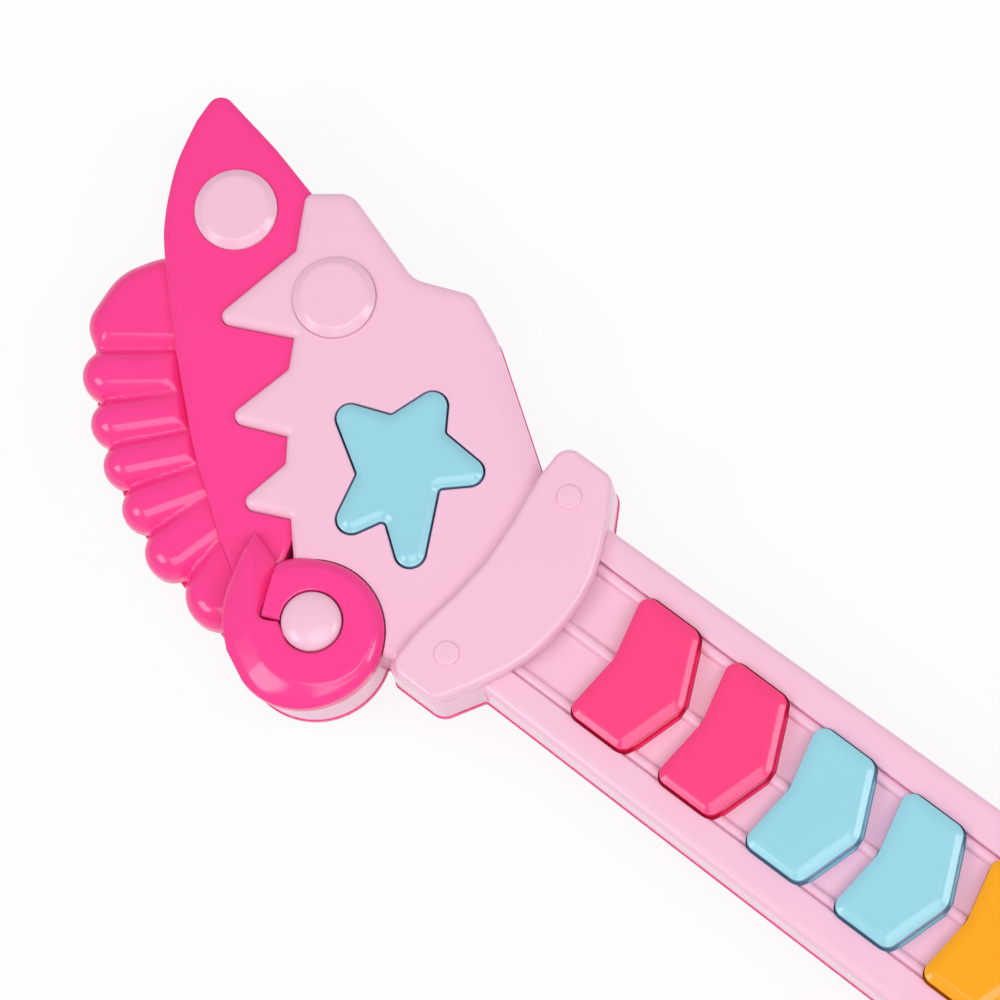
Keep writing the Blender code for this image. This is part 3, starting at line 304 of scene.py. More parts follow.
def settled(item):
    """Mesh of an object with its modifiers worked in; the object is used up."""
    bm = bmesh.new()
    bm.from_object(item, bpy.context.evaluated_depsgraph_get())
    discard(item)
    return bm


def boolean(operation, base, tools):
    item, tool = spare_object(base), spare_object(*tools)
    modifier = item.modifiers.new("spare", "BOOLEAN")
    modifier.operation = operation
    modifier.solver = "EXACT"
    modifier.object = tool
    bm = settled(item)
    discard(tool)
    bmesh.ops.remove_doubles(bm, verts=bm.verts, dist=1e-4)
    return bm


def cut(base, *tools):
    return boolean("DIFFERENCE", base, tools)


def join(base, *tools):
    return boolean("UNION", base, tools)


def put(node, bm, material, body="casing", smooth=35):
    """Make the piece that stands for a node; it rides on the node's body."""
    bmesh.ops.scale(bm, vec=(MM, MM, MM), verts=bm.verts)
    mesh = bpy.data.meshes.new(node + "_moulding")
    bm.to_mesh(mesh)
    bm.free()
    mesh.materials.clear()
    mesh.materials.append(material)
    mesh.shade_smooth()
    mesh.set_sharp_from_angle(angle=math.radians(smooth))
    item = bpy.data.objects.new(node + "_moulding", mesh)
    bpy.context.scene.collection.objects.link(item)
    item.modifiers.new("flat faces keep their shading", "WEIGHTED_NORMAL").keep_sharp = True
    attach(item, body)
    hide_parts(node)


FLOW_CLOUD = 45.0         # where the melt front cooled unevenly
GRAIN = 0.8
RIPPLE = 6.0              # sink and flow ripple of a thin gloss wall
ABS_IOR = 1.54


def new_finish(name, ior):
    """Material, its node tree, its shader and the object's own coordinates."""
    material = bpy.data.materials.new(name)
    material.use_nodes = True
    tree = material.node_tree
    shader = tree.nodes["Principled BSDF"]
    shader.inputs["IOR"].default_value = ior
    return material, tree, shader, add_node(tree, "ShaderNodeTexCoord").outputs["Object"]


def noise_of(tree, place, size, detail):
    """Noise whose features are about the given size in millimetres."""
    return add_node(tree, "ShaderNodeTexNoise", {"Vector": place},
                    Scale=1 / (size * MM), Detail=detail).outputs[0]


def mixed(tree, share, code, other_code):
    """Two colours mixed by a share."""
    tint = add_node(tree, "ShaderNodeMix", {0: share}, data_type="RGBA")
    tint.inputs[6].default_value = linear(code)
    tint.inputs[7].default_value = linear(other_code)
    return tint


def moulded_abs(name, code, flow_code, rough=0.2, wall_shade_code=None):
    """Gloss ABS from a polished mould: even colour with faint flow clouds and a slight ripple, and painted
    shade on upright faces when a wall shade colour is given.
    """
    material, tree, shader, place = new_finish(name, ABS_IOR)
    colour = mixed(tree, noise_of(tree, place, FLOW_CLOUD, 2.0), code, flow_code).outputs[2]
    gloss = add_node(tree, "ShaderNodeMapRange", {"Value": noise_of(tree, place, GRAIN, 3.0)},
                     To_Min=rough - 0.05, To_Max=rough + 0.05)
    bump = add_node(tree, "ShaderNodeBump", {"Height": noise_of(tree, place, RIPPLE, 1.0)},
                    Strength=0.12, Distance=0.05 * MM)
    if wall_shade_code:
        # Painted shade: upright faces blend to a darker, deeper colour that stands for the shade in the
        # narrow gap a cap's wall stands in
        normal = add_node(tree, "ShaderNodeTexCoord").outputs["Normal"]
        facing = add_node(tree, "ShaderNodeSeparateXYZ", {0: normal}).outputs["Z"]
        upright_shade = add_node(tree, "ShaderNodeMapRange", {"Value": facing}, From_Min=0.15, From_Max=0.6,
                           To_Min=1.0, To_Max=0.0)
        painted_wall_shade = mixed(tree, upright_shade.outputs[0], code, wall_shade_code)
        tree.links.new(colour, painted_wall_shade.inputs[6])
        colour = painted_wall_shade.outputs[2]
    tree.links.new(colour, shader.inputs["Base Color"])
    tree.links.new(gloss.outputs[0], shader.inputs["Roughness"])
    tree.links.new(bump.outputs[0], shader.inputs["Normal"])
    return material


hot_pink = moulded_abs("hot_pink_moulded_abs", "FF3F95", "FC388F", 0.15)
pale_pink = moulded_abs("pale_pink_moulded_abs", "F8C5DC", "F6C1DA")
light_blue = moulded_abs("light_blue_moulded_abs", "9ED8E9", "98D2E5")
orange = moulded_abs("orange_moulded_abs", "FEAC00", "FCA500")

SHOULDER = [(NECK_FACE, 27.0, 3.0), (86.0, 33.0, 12.0), (111.0, 50.0, 10.0), (84.0, 88.0, 30.0),
            (20.0, 64.0, 45.0), (-40.0, 96.0, 50.0), (BODY_TAIL, 88.0, 56.0)]
body_corners = [(x, -y, radius) for x, y, radius in reversed(SHOULDER)] + SHOULDER
NECK_ROOM = NECK_BUTT_HALF + GAP
BATTERY_X, BATTERY_R, BATTERY_LENGTH, BATTERY_PITCH = -50.0, 7.1, 50.0, 15.0
CELL_ROOM = 0.4
CONTACT = 0.8
BATTERY_HALF = BATTERY_LENGTH / 2 + CONTACT + 3 * CELL_ROOM
BATTERY_SIDE = BATTERY_PITCH + BATTERY_R + CELL_ROOM
DOOR_THICK = 2.0
DOOR_MARGIN = 4.0
DOOR_X0 = BATTERY_X - BATTERY_HALF
DOOR_X1 = BATTERY_X + BATTERY_HALF + 2 * DOOR_MARGIN
BATTERY_ROOF = DOOR_THICK + 3 * GAP + 2 * BATTERY_R
BOX_WALL = 1.6
BOSS_R = 3.4
SCREW_R = 1.1
SCREW_HEAD = 2.2
HEAD_FLAT, HEAD_TAPER = 0.6, 0.45 * SCREW_HEAD
SCREW_IN = 0.6
BODY_SCREWS = [(-88.0, 54.0), (-88.0, -66.0), (58.0, 58.0), (58.0, -58.0)]
JOINT_SCREWS = [(NECK_FACE - NECK_TENON / 2, y) for y in (-10.0, 10.0)]
DOOR_SCREW_X = DOOR_X1 - DOOR_MARGIN
body_rim = BODY_SEAM - GAP


def screw_bore(x, y, z_open, z_head, z_end):
    """Counterbore, seat and clearance hole for a screw."""
    wide = SCREW_HEAD + GAP
    narrow = SCREW_R + GAP
    seat = z_head + HEAD_FLAT
    return turned([(0, z_open, 0), (wide, z_open, 0), (wide, seat, 0), (narrow, seat + HEAD_TAPER + GAP, 0),
                   (narrow, z_end, 0), (0, z_end, 0)], x, y, 0, 32)


back = raised(body_corners, [(0, body_rim)] + rounded(0, BODY_EDGE, -1))
back = cut(back, raised(body_corners, [(-WALL - COVE, BODY_SKIN), (-WALL, BODY_SKIN + COVE),
                                       (-WALL, body_rim + PAST)]))
back = join(back, block(DOOR_X0 - BOX_WALL, DOOR_X1 + BOX_WALL, -BATTERY_SIDE - BOX_WALL,
                        BATTERY_SIDE + BOX_WALL, BODY_SKIN - SUNK, BATTERY_ROOF + BOX_WALL, 1.5))
back = join(back, *[disc(x, y, BOSS_R, BODY_SKIN - SUNK, body_rim) for x, y in BODY_SCREWS],
            *[disc(x, y, BOSS_R, BODY_SKIN - SUNK, NECK_BACK - GAP) for x, y in JOINT_SCREWS])
back = cut(back, block(DOOR_X0, BATTERY_X + BATTERY_HALF, -BATTERY_SIDE, BATTERY_SIDE,
                       BODY_SKIN - SUNK, BATTERY_ROOF))
back = cut(back, block(DOOR_X0, DOOR_X1, -BATTERY_SIDE, BATTERY_SIDE, -PAST, BODY_SKIN))
back = cut(back, *[screw_bore(x, y, -PAST, SCREW_IN, body_rim + PAST) for x, y in BODY_SCREWS],
           *[screw_bore(x, y, -PAST, SCREW_IN, NECK_BACK) for x, y in JOINT_SCREWS],
           disc(DOOR_SCREW_X, 0, SCREW_R + 3 * GAP, BODY_SKIN - 1, BODY_SKIN + 7),
           block(NECK_FACE - 8, NECK_FACE + 8, -NECK_ROOM, NECK_ROOM, NECK_BACK - GAP, body_rim + PAST))
put("body_rear_shell", back, hot_pink)

# ================================================================ battery door
# Flat hot pink ABS lid over three AA cells, held by one screw and hooked in at the tail end.
# Moulded grip ribs and a plain arrow show where the thumb pushes.
door_x = DOOR_X0 + GAP
door_end = DOOR_X1 - GAP
lid = raised([(door_x, GAP - BATTERY_SIDE, 1.0), (door_end, GAP - BATTERY_SIDE, 1.0),
              (door_end, BATTERY_SIDE - GAP, 1.0), (door_x, BATTERY_SIDE - GAP, 1.0)],
             [(0, DOOR_THICK)] + rounded(GAP, 0.3, -1, 0, 3))
ribs = [block(door_end - 12 - 2.4 * number, door_end - 10.8 - 2.4 * number, -9, 9, -1, GAP + 0.5, 0.5)
        for number in range(5)]
arrow = raised([(door_end - 36, 0, 0.5), (door_end - 28, -5, 0.5), (door_end - 28, 5, 0.5)],
               [(0, -1), (0, GAP + 0.4)], 4)
lid = cut(lid, screw_bore(DOOR_SCREW_X, 0, -3, GAP - 0.2, 6), arrow, *ribs)
put("battery_door", lid, hot_pink, "door")

# ================================================================ front casing of the body
# Pale pink ABS shell that closes the body, with openings for the strum bar, speaker, sound
# buttons, switch and whammy spindle. Its rim has the same wide round as the back.
SKIN_LOW = BODY_TOP - BODY_SKIN
FACE = 28.0
STRUM_X, STRUM_LENGTH, STRUM_WIDTH = -14.0, 46.0, 9.0     # on the centreline
STRUM_TOP = BODY_TOP + 7.0
STRUM_AXIS_Z = SKIN_LOW - 4.0
STRUM_SWING = 12.0
STRUM_SLOT = STRUM_WIDTH / 2 + (STRUM_TOP - STRUM_AXIS_Z) * math.sin(math.radians(STRUM_SWING)) * 0.75
CHEEK, CHEEK_DROP = 3.0, 4.0
CHEEK_X = STRUM_LENGTH / 2 + 1.0
AXLE_R, AXLE_CLEAR = 1.5, 0.1
GRILLE_R = 25.0
SPEAKER_X = -76.0         # on the centreline
SPEAKER_OPENING = GRILLE_R - 6.0
BUTTON_R, BUTTON_CLEAR, BUTTON_Y = 8.0, 0.5, -56.0
BUTTON_XS = (-72.0, -46.0, -20.0)
SWITCH_X, SWITCH_Y, SWITCH_LENGTH, SWITCH_WIDTH, SWITCH_TRAVEL = 34.0, -52.0, 12.0, 7.0, 8.0
SLIDE_ROOM = 0.5
WHAMMY_X, WHAMMY_Y = -56.0, 44.0
SPINDLE_R = 4.0
slot_sides = (STRUM_X - CHEEK_X, STRUM_X + CHEEK_X, -STRUM_SLOT, STRUM_SLOT)

top = raised(body_corners, [(0, BODY_SEAM)] + rounded(BODY_TOP, BODY_EDGE))
top = cut(top, raised(body_corners, [(-WALL, BODY_SEAM - PAST), (-WALL, SKIN_LOW - COVE),
                                     (-WALL - COVE, SKIN_LOW)]))
cheeks = []
for side in (-1, 1):
    middle = STRUM_X + side * (CHEEK_X + CHEEK / 2)
    cheeks.append(block(middle - CHEEK / 2, middle + CHEEK / 2, -STRUM_WIDTH / 2,
                        STRUM_WIDTH / 2, STRUM_AXIS_Z - CHEEK_DROP, SKIN_LOW + SUNK))
top = join(top, *[disc(x, y, BOSS_R, BODY_SEAM, SKIN_LOW + SUNK) for x, y in BODY_SCREWS], *cheeks)
axle_bore = moved(laid_along_x(disc(0, 0, AXLE_R + AXLE_CLEAR, -CHEEK_X - CHEEK - 3, CHEEK_X + CHEEK + 3)),
                  Matrix.Translation((STRUM_X, 0, STRUM_AXIS_Z)))
top = cut(top, axle_bore,
          block(NECK_FACE - 8, NECK_FACE + 8, -NECK_ROOM, NECK_ROOM, BODY_SEAM - PAST, FACE + GAP))


def flare(clear, low, face, edge, parts=3):
    """Profile of an opening with a small round at its upper edge."""
    turn = [(clear + edge - out, z) for out, z in rounded(face, edge, 1, edge, parts)]
    return [(clear, low)] + turn + [(clear + edge, face + PAST)]


def ring_corners(x, y, radius, count=48):
    """Round outline as corners without rounding."""
    turns = [math.tau * number / count for number in range(count)]
    return [(x + radius * math.cos(a), y + radius * math.sin(a), 0) for a in turns]


switch_room = (SWITCH_X - SWITCH_LENGTH / 2 - SLIDE_ROOM,
               SWITCH_X + SWITCH_LENGTH / 2 + SWITCH_TRAVEL + SLIDE_ROOM,
               SWITCH_Y - SWITCH_WIDTH / 2 - SLIDE_ROOM, SWITCH_Y + SWITCH_WIDTH / 2 + SLIDE_ROOM)
skin_low = SKIN_LOW - COVE
top_flare = flare(0, skin_low, BODY_TOP, 0.5)
top = cut(top, block(*slot_sides, SKIN_LOW - 1, BODY_TOP + PAST, 1.0),
          disc(SPEAKER_X, 0, SPEAKER_OPENING, skin_low, BODY_TOP + PAST),
          *[raised(ring_corners(x, BUTTON_Y, BUTTON_R + BUTTON_CLEAR), top_flare) for x in BUTTON_XS],
          raised(box_corners(*switch_room), top_flare),
          disc(WHAMMY_X, WHAMMY_Y, SPINDLE_R + AXLE_CLEAR, skin_low, BODY_TOP + PAST),
          *[disc(x, y, SCREW_R + GAP, BODY_SEAM - PAST, skin_low) for x, y in BODY_SCREWS])
put("body_front_shell", top, pale_pink)

# ================================================================ plates on the body's face
# The hot pink pickguard is a separate gloss moulding heat-staked to the face; its jagged edge
# answers the head plate's teeth. The light blue grille is a slotted disc over the speaker.
GUARD_BASE = BODY_TOP + GAP
GUARD_THICK = 1.6
GUARD = [(58.0, -24.0, 6.0), (58.0, 24.0, 6.0), (40.0, 46.0, 10.0), (8.0, 50.0, 12.0),
         (-33.0, 52.0, 3.0), (-20.0, 35.0, 1.0), (-46.0, 26.0, 2.5), (-33.0, 14.0, 1.0),
         (-50.0, 4.0, 2.5), (-34.0, -16.0, 1.0), (-46.0, -28.0, 2.5), (-20.0, -32.0, 1.0),
         (-12.0, -42.0, 3.0), (18.0, -40.0, 8.0), (40.0, -42.0, 8.0)]
guard_top = GUARD_BASE + GUARD_THICK
guard = raised(GUARD, [(0, GUARD_BASE)] + rounded(guard_top, 0.9))
guard = cut(guard, block(*slot_sides, GUARD_BASE - 2, guard_top + 2, 1.0))
put("pickguard", guard, hot_pink)

SLOT_WIDTH = 3.0
GRILLE_THICK = 2.0
grille_low = GRILLE_THICK - 0.5
grille = turned([(0, 0, 0), (GRILLE_R, 0, 0), (GRILLE_R, GRILLE_THICK, 1.2),
                 (GRILLE_R - 4.5, GRILLE_THICK, 0.6), (GRILLE_R - 5.2, grille_low, 0.4), (0, grille_low, 0)],
                SPEAKER_X, 0, GUARD_BASE, 96)
slots = []
for row in range(-2, 3):
    y = row * 2.4 * SLOT_WIDTH
    reach = math.sqrt((SPEAKER_OPENING - 1.5) ** 2 - y * y)
    slots.append(block(SPEAKER_X - reach, SPEAKER_X + reach, y - SLOT_WIDTH / 2, y + SLOT_WIDTH / 2,
                       GUARD_BASE - 2, GUARD_BASE + 6, SLOT_WIDTH / 2 - 0.01))
put("speaker_grille", cut(grille, *slots), light_blue)

# ================================================================ sound buttons
# Three round ABS caps, each on a rubber dome, with a soft dished top and a lip under the casing.
LIP_THICK = 1.3
BUTTON_BASE = SKIN_LOW - GAP - LIP_THICK
button_height = BODY_TOP + 3.0 - BUTTON_BASE
button_lip = BUTTON_R + BUTTON_CLEAR + 1
for number, (x, finish) in enumerate(zip(BUTTON_XS, (light_blue, orange, hot_pink)), 1):
    cap = turned([(0, 0, 0), (button_lip, 0, 0), (button_lip, LIP_THICK, 0), (BUTTON_R, LIP_THICK, 0),
                  (BUTTON_R, button_height, 1.6), (BUTTON_R - 2.6, button_height + 0.3, 1.0),
                  (BUTTON_R - 4.0, button_height - 0.4, 2.0), (0, button_height - 0.7, 0)],
                 x, BUTTON_Y, BUTTON_BASE)
    put(f"sound_button_{number}", cap, finish, f"sound_{number}")

# ================================================================ power switch
# Orange ABS slide knob with thumb ribs; it runs in a slot beside the pickguard.
knob_low = SKIN_LOW - GAP - LIP_THICK
knob_top = BODY_TOP + 2.6
SWITCH_LIP = 1.5
RIB_PITCH, RIB_GAP = 2.2, 1.0
knob_sides = (SWITCH_X - SWITCH_LENGTH / 2, SWITCH_X + SWITCH_LENGTH / 2,
              SWITCH_Y - SWITCH_WIDTH / 2, SWITCH_Y + SWITCH_WIDTH / 2)
knob = raised(box_corners(*knob_sides, 1.2), [(0, knob_low)] + rounded(knob_top, 0.7, 1, 0, 4), 4)
for step in range(-2, 3):
    x = SWITCH_X + step * RIB_PITCH
    knob = cut(knob, block(x - RIB_GAP / 2, x + RIB_GAP / 2, SWITCH_Y - SWITCH_WIDTH, SWITCH_Y + SWITCH_WIDTH,
                           knob_top - 0.7, knob_top + PAST))
knob = join(knob, block(knob_sides[0] - SWITCH_LIP, knob_sides[1] + SWITCH_LIP, knob_sides[2] - SWITCH_LIP,
                        knob_sides[3] + SWITCH_LIP, knob_low - 0.001, knob_low + LIP_THICK))
put("power_switch", knob, orange, "switch")

# ================================================================ strum bar
# Orange ABS rocker on a steel axle: a ridge with a rounded crest, tapering a little to its ends.
strum_rise = STRUM_TOP - STRUM_AXIS_Z
strum_profile = fillet([(-STRUM_WIDTH / 2, -1.5, 0.5), (0, -4.5, 1.0), (STRUM_WIDTH / 2, -1.5, 0.5),
                        (STRUM_WIDTH / 2, 5.0, 1.5), (1.9, strum_rise, 1.6), (-1.9, strum_rise, 1.6),
                        (-STRUM_WIDTH / 2, 5.0, 1.5)], 5)
half = STRUM_LENGTH / 2
taper = [(half, 0.86), (half - 0.4, 0.94), (half - 1.2, 1.0)]
sections = [[(STRUM_X + along, y * size, STRUM_AXIS_Z + z * size) for y, z in strum_profile]
            for along, size in [(-along, size) for along, size in taper] + taper[::-1]]
bar = cut(lofted(sections), moved(laid_along_x(disc(0, 0, AXLE_R + AXLE_CLEAR, -STRUM_LENGTH, STRUM_LENGTH)),
                                  Matrix.Translation((STRUM_X, 0, STRUM_AXIS_Z))))
put("strum_bar", bar, orange, "strum")

# ================================================================ whammy bar
# Pale pink ABS arm on a round hub, with an orange grip pushed over its end.
HUB_R, HUB_TALL, HUB_Z = 9.0, 9.0, BODY_TOP + GAP
WHAMMY_ROD, WHAMMY_REACH, WHAMMY_LEAN = 2.6, 46.0, 160.0
rod_z = HUB_Z + HUB_TALL - WHAMMY_ROD - 0.6
spindle_low = SKIN_LOW - 2.5
arm_place = (Matrix.Translation((WHAMMY_X, WHAMMY_Y, rod_z))
             @ Matrix.Rotation(math.radians(WHAMMY_LEAN), 4, "Z"))
hub = turned([(0, spindle_low, 0), (SPINDLE_R, spindle_low, 0.3), (SPINDLE_R, HUB_Z, 0), (HUB_R, HUB_Z, 0.3),
              (HUB_R, HUB_Z + HUB_TALL, 1.8), (0, HUB_Z + HUB_TALL, 0)], WHAMMY_X, WHAMMY_Y)
arm = moved(laid_along_x(disc(0, 0, WHAMMY_ROD, 0, WHAMMY_REACH)), arm_place)
put("whammy_bar", join(hub, arm), pale_pink, "whammy")

GRIP_R, GRIP_LENGTH, GRIP_GRASP = 4.6, 16.0, 10.0
grip_bore = WHAMMY_ROD + GAP
grip = turned([(grip_bore, 0, 0.2), (GRIP_R - 0.8, 0, 0.5), (GRIP_R, 2.5, 3.0),
               (GRIP_R, GRIP_LENGTH - 3, 3.0), (GRIP_R - 1.6, GRIP_LENGTH, 1.6), (0, GRIP_LENGTH, 0),
               (0, GRIP_GRASP, 0), (grip_bore, GRIP_GRASP, 0)])
grip_place = arm_place @ Matrix.Translation((WHAMMY_REACH - GRIP_GRASP + GAP, 0, 0))
grip = moved(laid_along_x(grip), grip_place)
put("whammy_grip", grip, orange, "whammy")

# ================================================================ rear casing of the neck and head
# Hot pink ABS dish under the whole neck and head, with bosses for its screws. Its rim stands
# a hair proud of the pale casing and shows as a thin pink line round it.
NECK_SEAM = 16.0
NECK_SKIN = 4.0
SKIN_UNDER = FACE - NECK_SKIN
INNER_BACK = NECK_BACK + WALL
BACK_EDGE = 2.0
RIM_PROUD, RIM_TALL = 0.22, 1.0   # how far the rim stands out past the pale casing
DRAFT = 1.35              # how far the wall leans in, so that the casing leaves its mould
NECK_BUTT = NECK_FACE - NECK_TENON - NUT_X
NUT_HALF = 28.9
SCROLL_X, SCROLL_Y, SCROLL_R = 29.9, 32.4, 15.0
FIRST_KEY, KEY_PITCH, KEYS = -22.4, 22.0, 8
NUT_SIDE = [(-4.4, NECK_HALF, 1.0), (0.5, NUT_HALF, 3.5), (12.6, NUT_HALF, 3.5)]
STAR_SIDE = [(12.8, -21.1, 1.0), (38.8, -38.6, 6.0), (47.8, -42.5, 4.0), (59.5, -37.9, 6.0)]
PEAK = (81.0, -44.6, 5.0)
FOOT = (13.4, 26.4, 0.5)
LEAF_SIDE, LEAF_TIP = (100.0, -43.1, 30.0), (117.4, -46.2, 5.0)
SCREW_SIDE = 15.5         # between the keys' lips, outside the circuit board
NECK_SCREWS = [(FIRST_KEY - KEY_PITCH - 17.0, SCREW_SIDE), (FIRST_KEY - 5 * KEY_PITCH - 14.5, -SCREW_SIDE)]
HEAD_SCREWS = [(60.0, -18.0), (22.0, 37.0)]
CASING_SCREWS = [(NUT_X + x, y) for x, y in NECK_SCREWS + HEAD_SCREWS]
butt_x = NUT_X + NECK_BUTT
rim = NECK_SEAM - GAP


def arc(x, y, radius, start, end, parts):
    """Points on an arc as corners without rounding, angles in degrees."""
    turns = [math.radians(start + (end - start) * part / parts) for part in range(parts + 1)]
    return [(x + radius * math.cos(a), y + radius * math.sin(a), 0) for a in turns]


def on_guitar(corners):
    """Head and neck corners in the guitar's own frame."""
    return [(x + NUT_X, y, radius) for x, y, radius in corners]


NECK_END = [(NECK_BUTT, NECK_BUTT_HALF, 0), (NECK_BUTT, -NECK_BUTT_HALF, 0)]
NUT_MIRRORED = [(x, -y, radius) for x, y, radius in NUT_SIDE]
rear_tip = (LEAF_TIP[0] - 2 * RIM_PROUD, *LEAF_TIP[1:])     # so that the rim stays behind the leaf's tip
back_corners = on_guitar(
    NECK_END + NUT_MIRRORED + STAR_SIDE + [PEAK, (88.0, -40.4, 1.0), LEAF_SIDE, rear_tip]
    + [(115.5, -36.0, 20.0), (107.0, -19.0, 10.0), (105.6, -11.0, 4.0), (108.0, -5.0, 8.0), (107.6, 6.0, 6.0),
       (101.5, 16.0, 4.0), (93.6, 23.4, 4.0), (85.8, 28.6, 4.0), (76.9, 33.8, 4.0), (66.0, 37.2, 4.0),
       (52.5, 40.2, 6.0)]
    + arc(SCROLL_X, SCROLL_Y, SCROLL_R, 52, 200, 40) + [FOOT] + NUT_SIDE[::-1])
rear = raised(back_corners, [(RIM_PROUD, rim), (RIM_PROUD, rim - RIM_TALL), (-DRAFT, INNER_BACK + 1.0)]
              + rounded(NECK_BACK, BACK_EDGE, -1, -DRAFT))
rear = cut(rear, raised(back_corners, [(-WALL - DRAFT, INNER_BACK), (-WALL - DRAFT, INNER_BACK + 1.0),
                                       (-WALL, rim - RIM_TALL), (-WALL, rim + PAST)]))
rear = join(rear, *[disc(x, y, BOSS_R, INNER_BACK - SUNK, rim) for x, y in CASING_SCREWS + JOINT_SCREWS])
rear = cut(rear, *[screw_bore(x, y, NECK_BACK - PAST, NECK_BACK + SCREW_IN, rim + PAST)
                   for x, y in CASING_SCREWS],
           *[disc(x, y, SCREW_R + GAP, NECK_BACK - PAST, rim - 1.2) for x, y in JOINT_SCREWS])
put("neck_rear_shell", rear, hot_pink)

# ================================================================ front casing of the neck and head
# Pale pink ABS: neck rails and sunken fingerboard with three half-round ridges like strings,
# nut ends, and the head plate with its teeth. A wide soft chamfer runs beside the nut.
CHANNEL_HALF, CHANNEL_DEPTH = 14.2, 2.0
RIDGE_PITCH, RIDGE_RADIUS = 13.0, 1.25
CHANNEL = FACE - CHANNEL_DEPTH
LEAF_FACE = 25.5
FACE_EDGE = 1.5
TIGHT = 0.08              # between mouldings that are pressed or staked together
TEETH = [(88.5, -38.9, 2.0), (82.5, -28.3, 1.0), (87.2, -6.4, 1.9), (71.4, -13.8, 0.5),
         (68.1, -7.9, 1.0), (72.0, 8.2, 1.9), (59.6, 3.1, 0.5), (56.2, 7.9, 1.0),
         (58.9, 20.9, 1.9), (48.3, 16.1, 0.5)]
KEY_HALF, KEY_LENGTH, KEY_SKEW, KEY_NOTCH, KEY_POINT = 14.2, 17.4, 0.09, 2.3, 5.5
KEY_CLEAR = 0.5
STAR_CLEAR = 0.5
# Star: centre and radius of each round tip, and the valleys between them
STAR_TIPS = [((51.3, -7.3), 2.8), ((39.5, -19.1), 3.0), ((25.0, -12.9), 2.8), ((24.2, 7.3), 3.0),
             ((38.0, 8.9), 3.0)]
STAR_VALLEYS = [(44.9, -12.7), (34.0, -16.2), (27.9, -6.5), (32.5, 5.0), (42.9, 1.0)]
CAP_R, CAP_SEAT = 8.5, 1.8
CAP_1, CAP_2 = (NUT_X + 98.1, -27.9), (NUT_X + 69.6, -25.0)
SWOOSH_TIP = (52.2, 21.4)
SWOOSH = [(51.0, 33.2), (47.0, 40.3), (41.9, 45.6)]
key_tail = KEY_NOTCH - KEY_LENGTH + KEY_POINT
key_flat = [(0, 0, 5.0), (KEY_NOTCH, KEY_HALF, 2.4), (key_tail - KEY_NOTCH, KEY_HALF, 2.6),
            (-KEY_LENGTH, 0, 4.0), (key_tail - KEY_NOTCH, -KEY_HALF, 2.6), (KEY_NOTCH, -KEY_HALF, 2.4)]
key_corners = [(x - KEY_SKEW * y, y, radius) for x, y, radius in key_flat]
front_corners = on_guitar(NECK_END + NUT_MIRRORED + STAR_SIDE + [PEAK] + TEETH
                          + arc(SCROLL_X, SCROLL_Y, SCROLL_R, -38, 200, 72) + [FOOT] + NUT_SIDE[::-1])
scroll_corners = on_guitar([(*SWOOSH_TIP, 2.0)] + [(x, y, 8.0) for x, y in SWOOSH]
                           + arc(SCROLL_X, SCROLL_Y, SCROLL_R, 66, 328, 72))


def star_corners(parts=14):
    """Star whose straight flanks run from the round tips to soft valleys."""
    corners = []
    for ((x, y), radius), before, after in zip(STAR_TIPS, STAR_VALLEYS[-1:] + STAR_VALLEYS, STAR_VALLEYS):
        ends = []
        for valley, side in ((before, -1), (after, 1)):
            away = Vector(valley) - Vector((x, y))
            bearing = math.atan2(away.y, away.x) + side * math.acos(radius / away.length)
            ends.append(math.degrees(bearing))
        turn = (ends[1] - ends[0]) % 360 - 360
        corners += arc(x, y, radius, ends[0], ends[0] + turn, parts)
        corners.append((*after, 1.2))
    return corners


def key_at(number, corners):
    """Key corners at the place of a key, counted from the nut."""
    return [(x + NUT_X + FIRST_KEY - KEY_PITCH * number, y, radius) for x, y, radius in corners]


RIM_WIDTH, RIM_DROP = 2.6, 0.35
front = raised(front_corners, [(0, NECK_SEAM)] + rounded(FACE - RIM_DROP, FACE_EDGE)[:-1]
               + [(-FACE_EDGE, FACE - RIM_DROP + 0.04), (-RIM_WIDTH, FACE)])
front = cut(front, raised(front_corners, [(-WALL, NECK_SEAM - PAST), (-WALL, SKIN_UNDER)]))
front = cut(front, raised(box_corners(butt_x - PAST, NUT_X - 6, -CHANNEL_HALF, CHANNEL_HALF, 0),
                          flare(0, CHANNEL, FACE, 0.5, 4)))
ridges = [moved(laid_along_x(disc(0, 0, RIDGE_RADIUS, butt_x + 1, NUT_X - 4, 32)),
                Matrix.Translation((0, side * RIDGE_PITCH, CHANNEL))) for side in (-1, 0, 1)]
front = join(front, *ridges)
front = join(front, *[disc(x, y, 2.2, NECK_SEAM, SKIN_UNDER + SUNK) for x, y in CASING_SCREWS])
openings = [raised(key_at(number, grow(key_corners, KEY_CLEAR)), [(0, SKIN_UNDER - PAST), (0, FACE + PAST)])
            for number in range(KEYS)]
openings.append(raised(on_guitar(star_corners()), flare(STAR_CLEAR - 0.1, SKIN_UNDER - PAST, FACE, 0.4)))
front = cut(front, *openings)
front = cut(front, raised(grow(scroll_corners, GAP), [(0, LEAF_FACE), (0, FACE + PAST)]))
front = cut(front, disc(*CAP_2, CAP_R + TIGHT, FACE - CAP_SEAT, FACE + PAST, 96),
            *[disc(x, y, SCREW_R + GAP, NECK_SEAM - PAST, SKIN_UNDER - 1.2) for x, y in CASING_SCREWS])
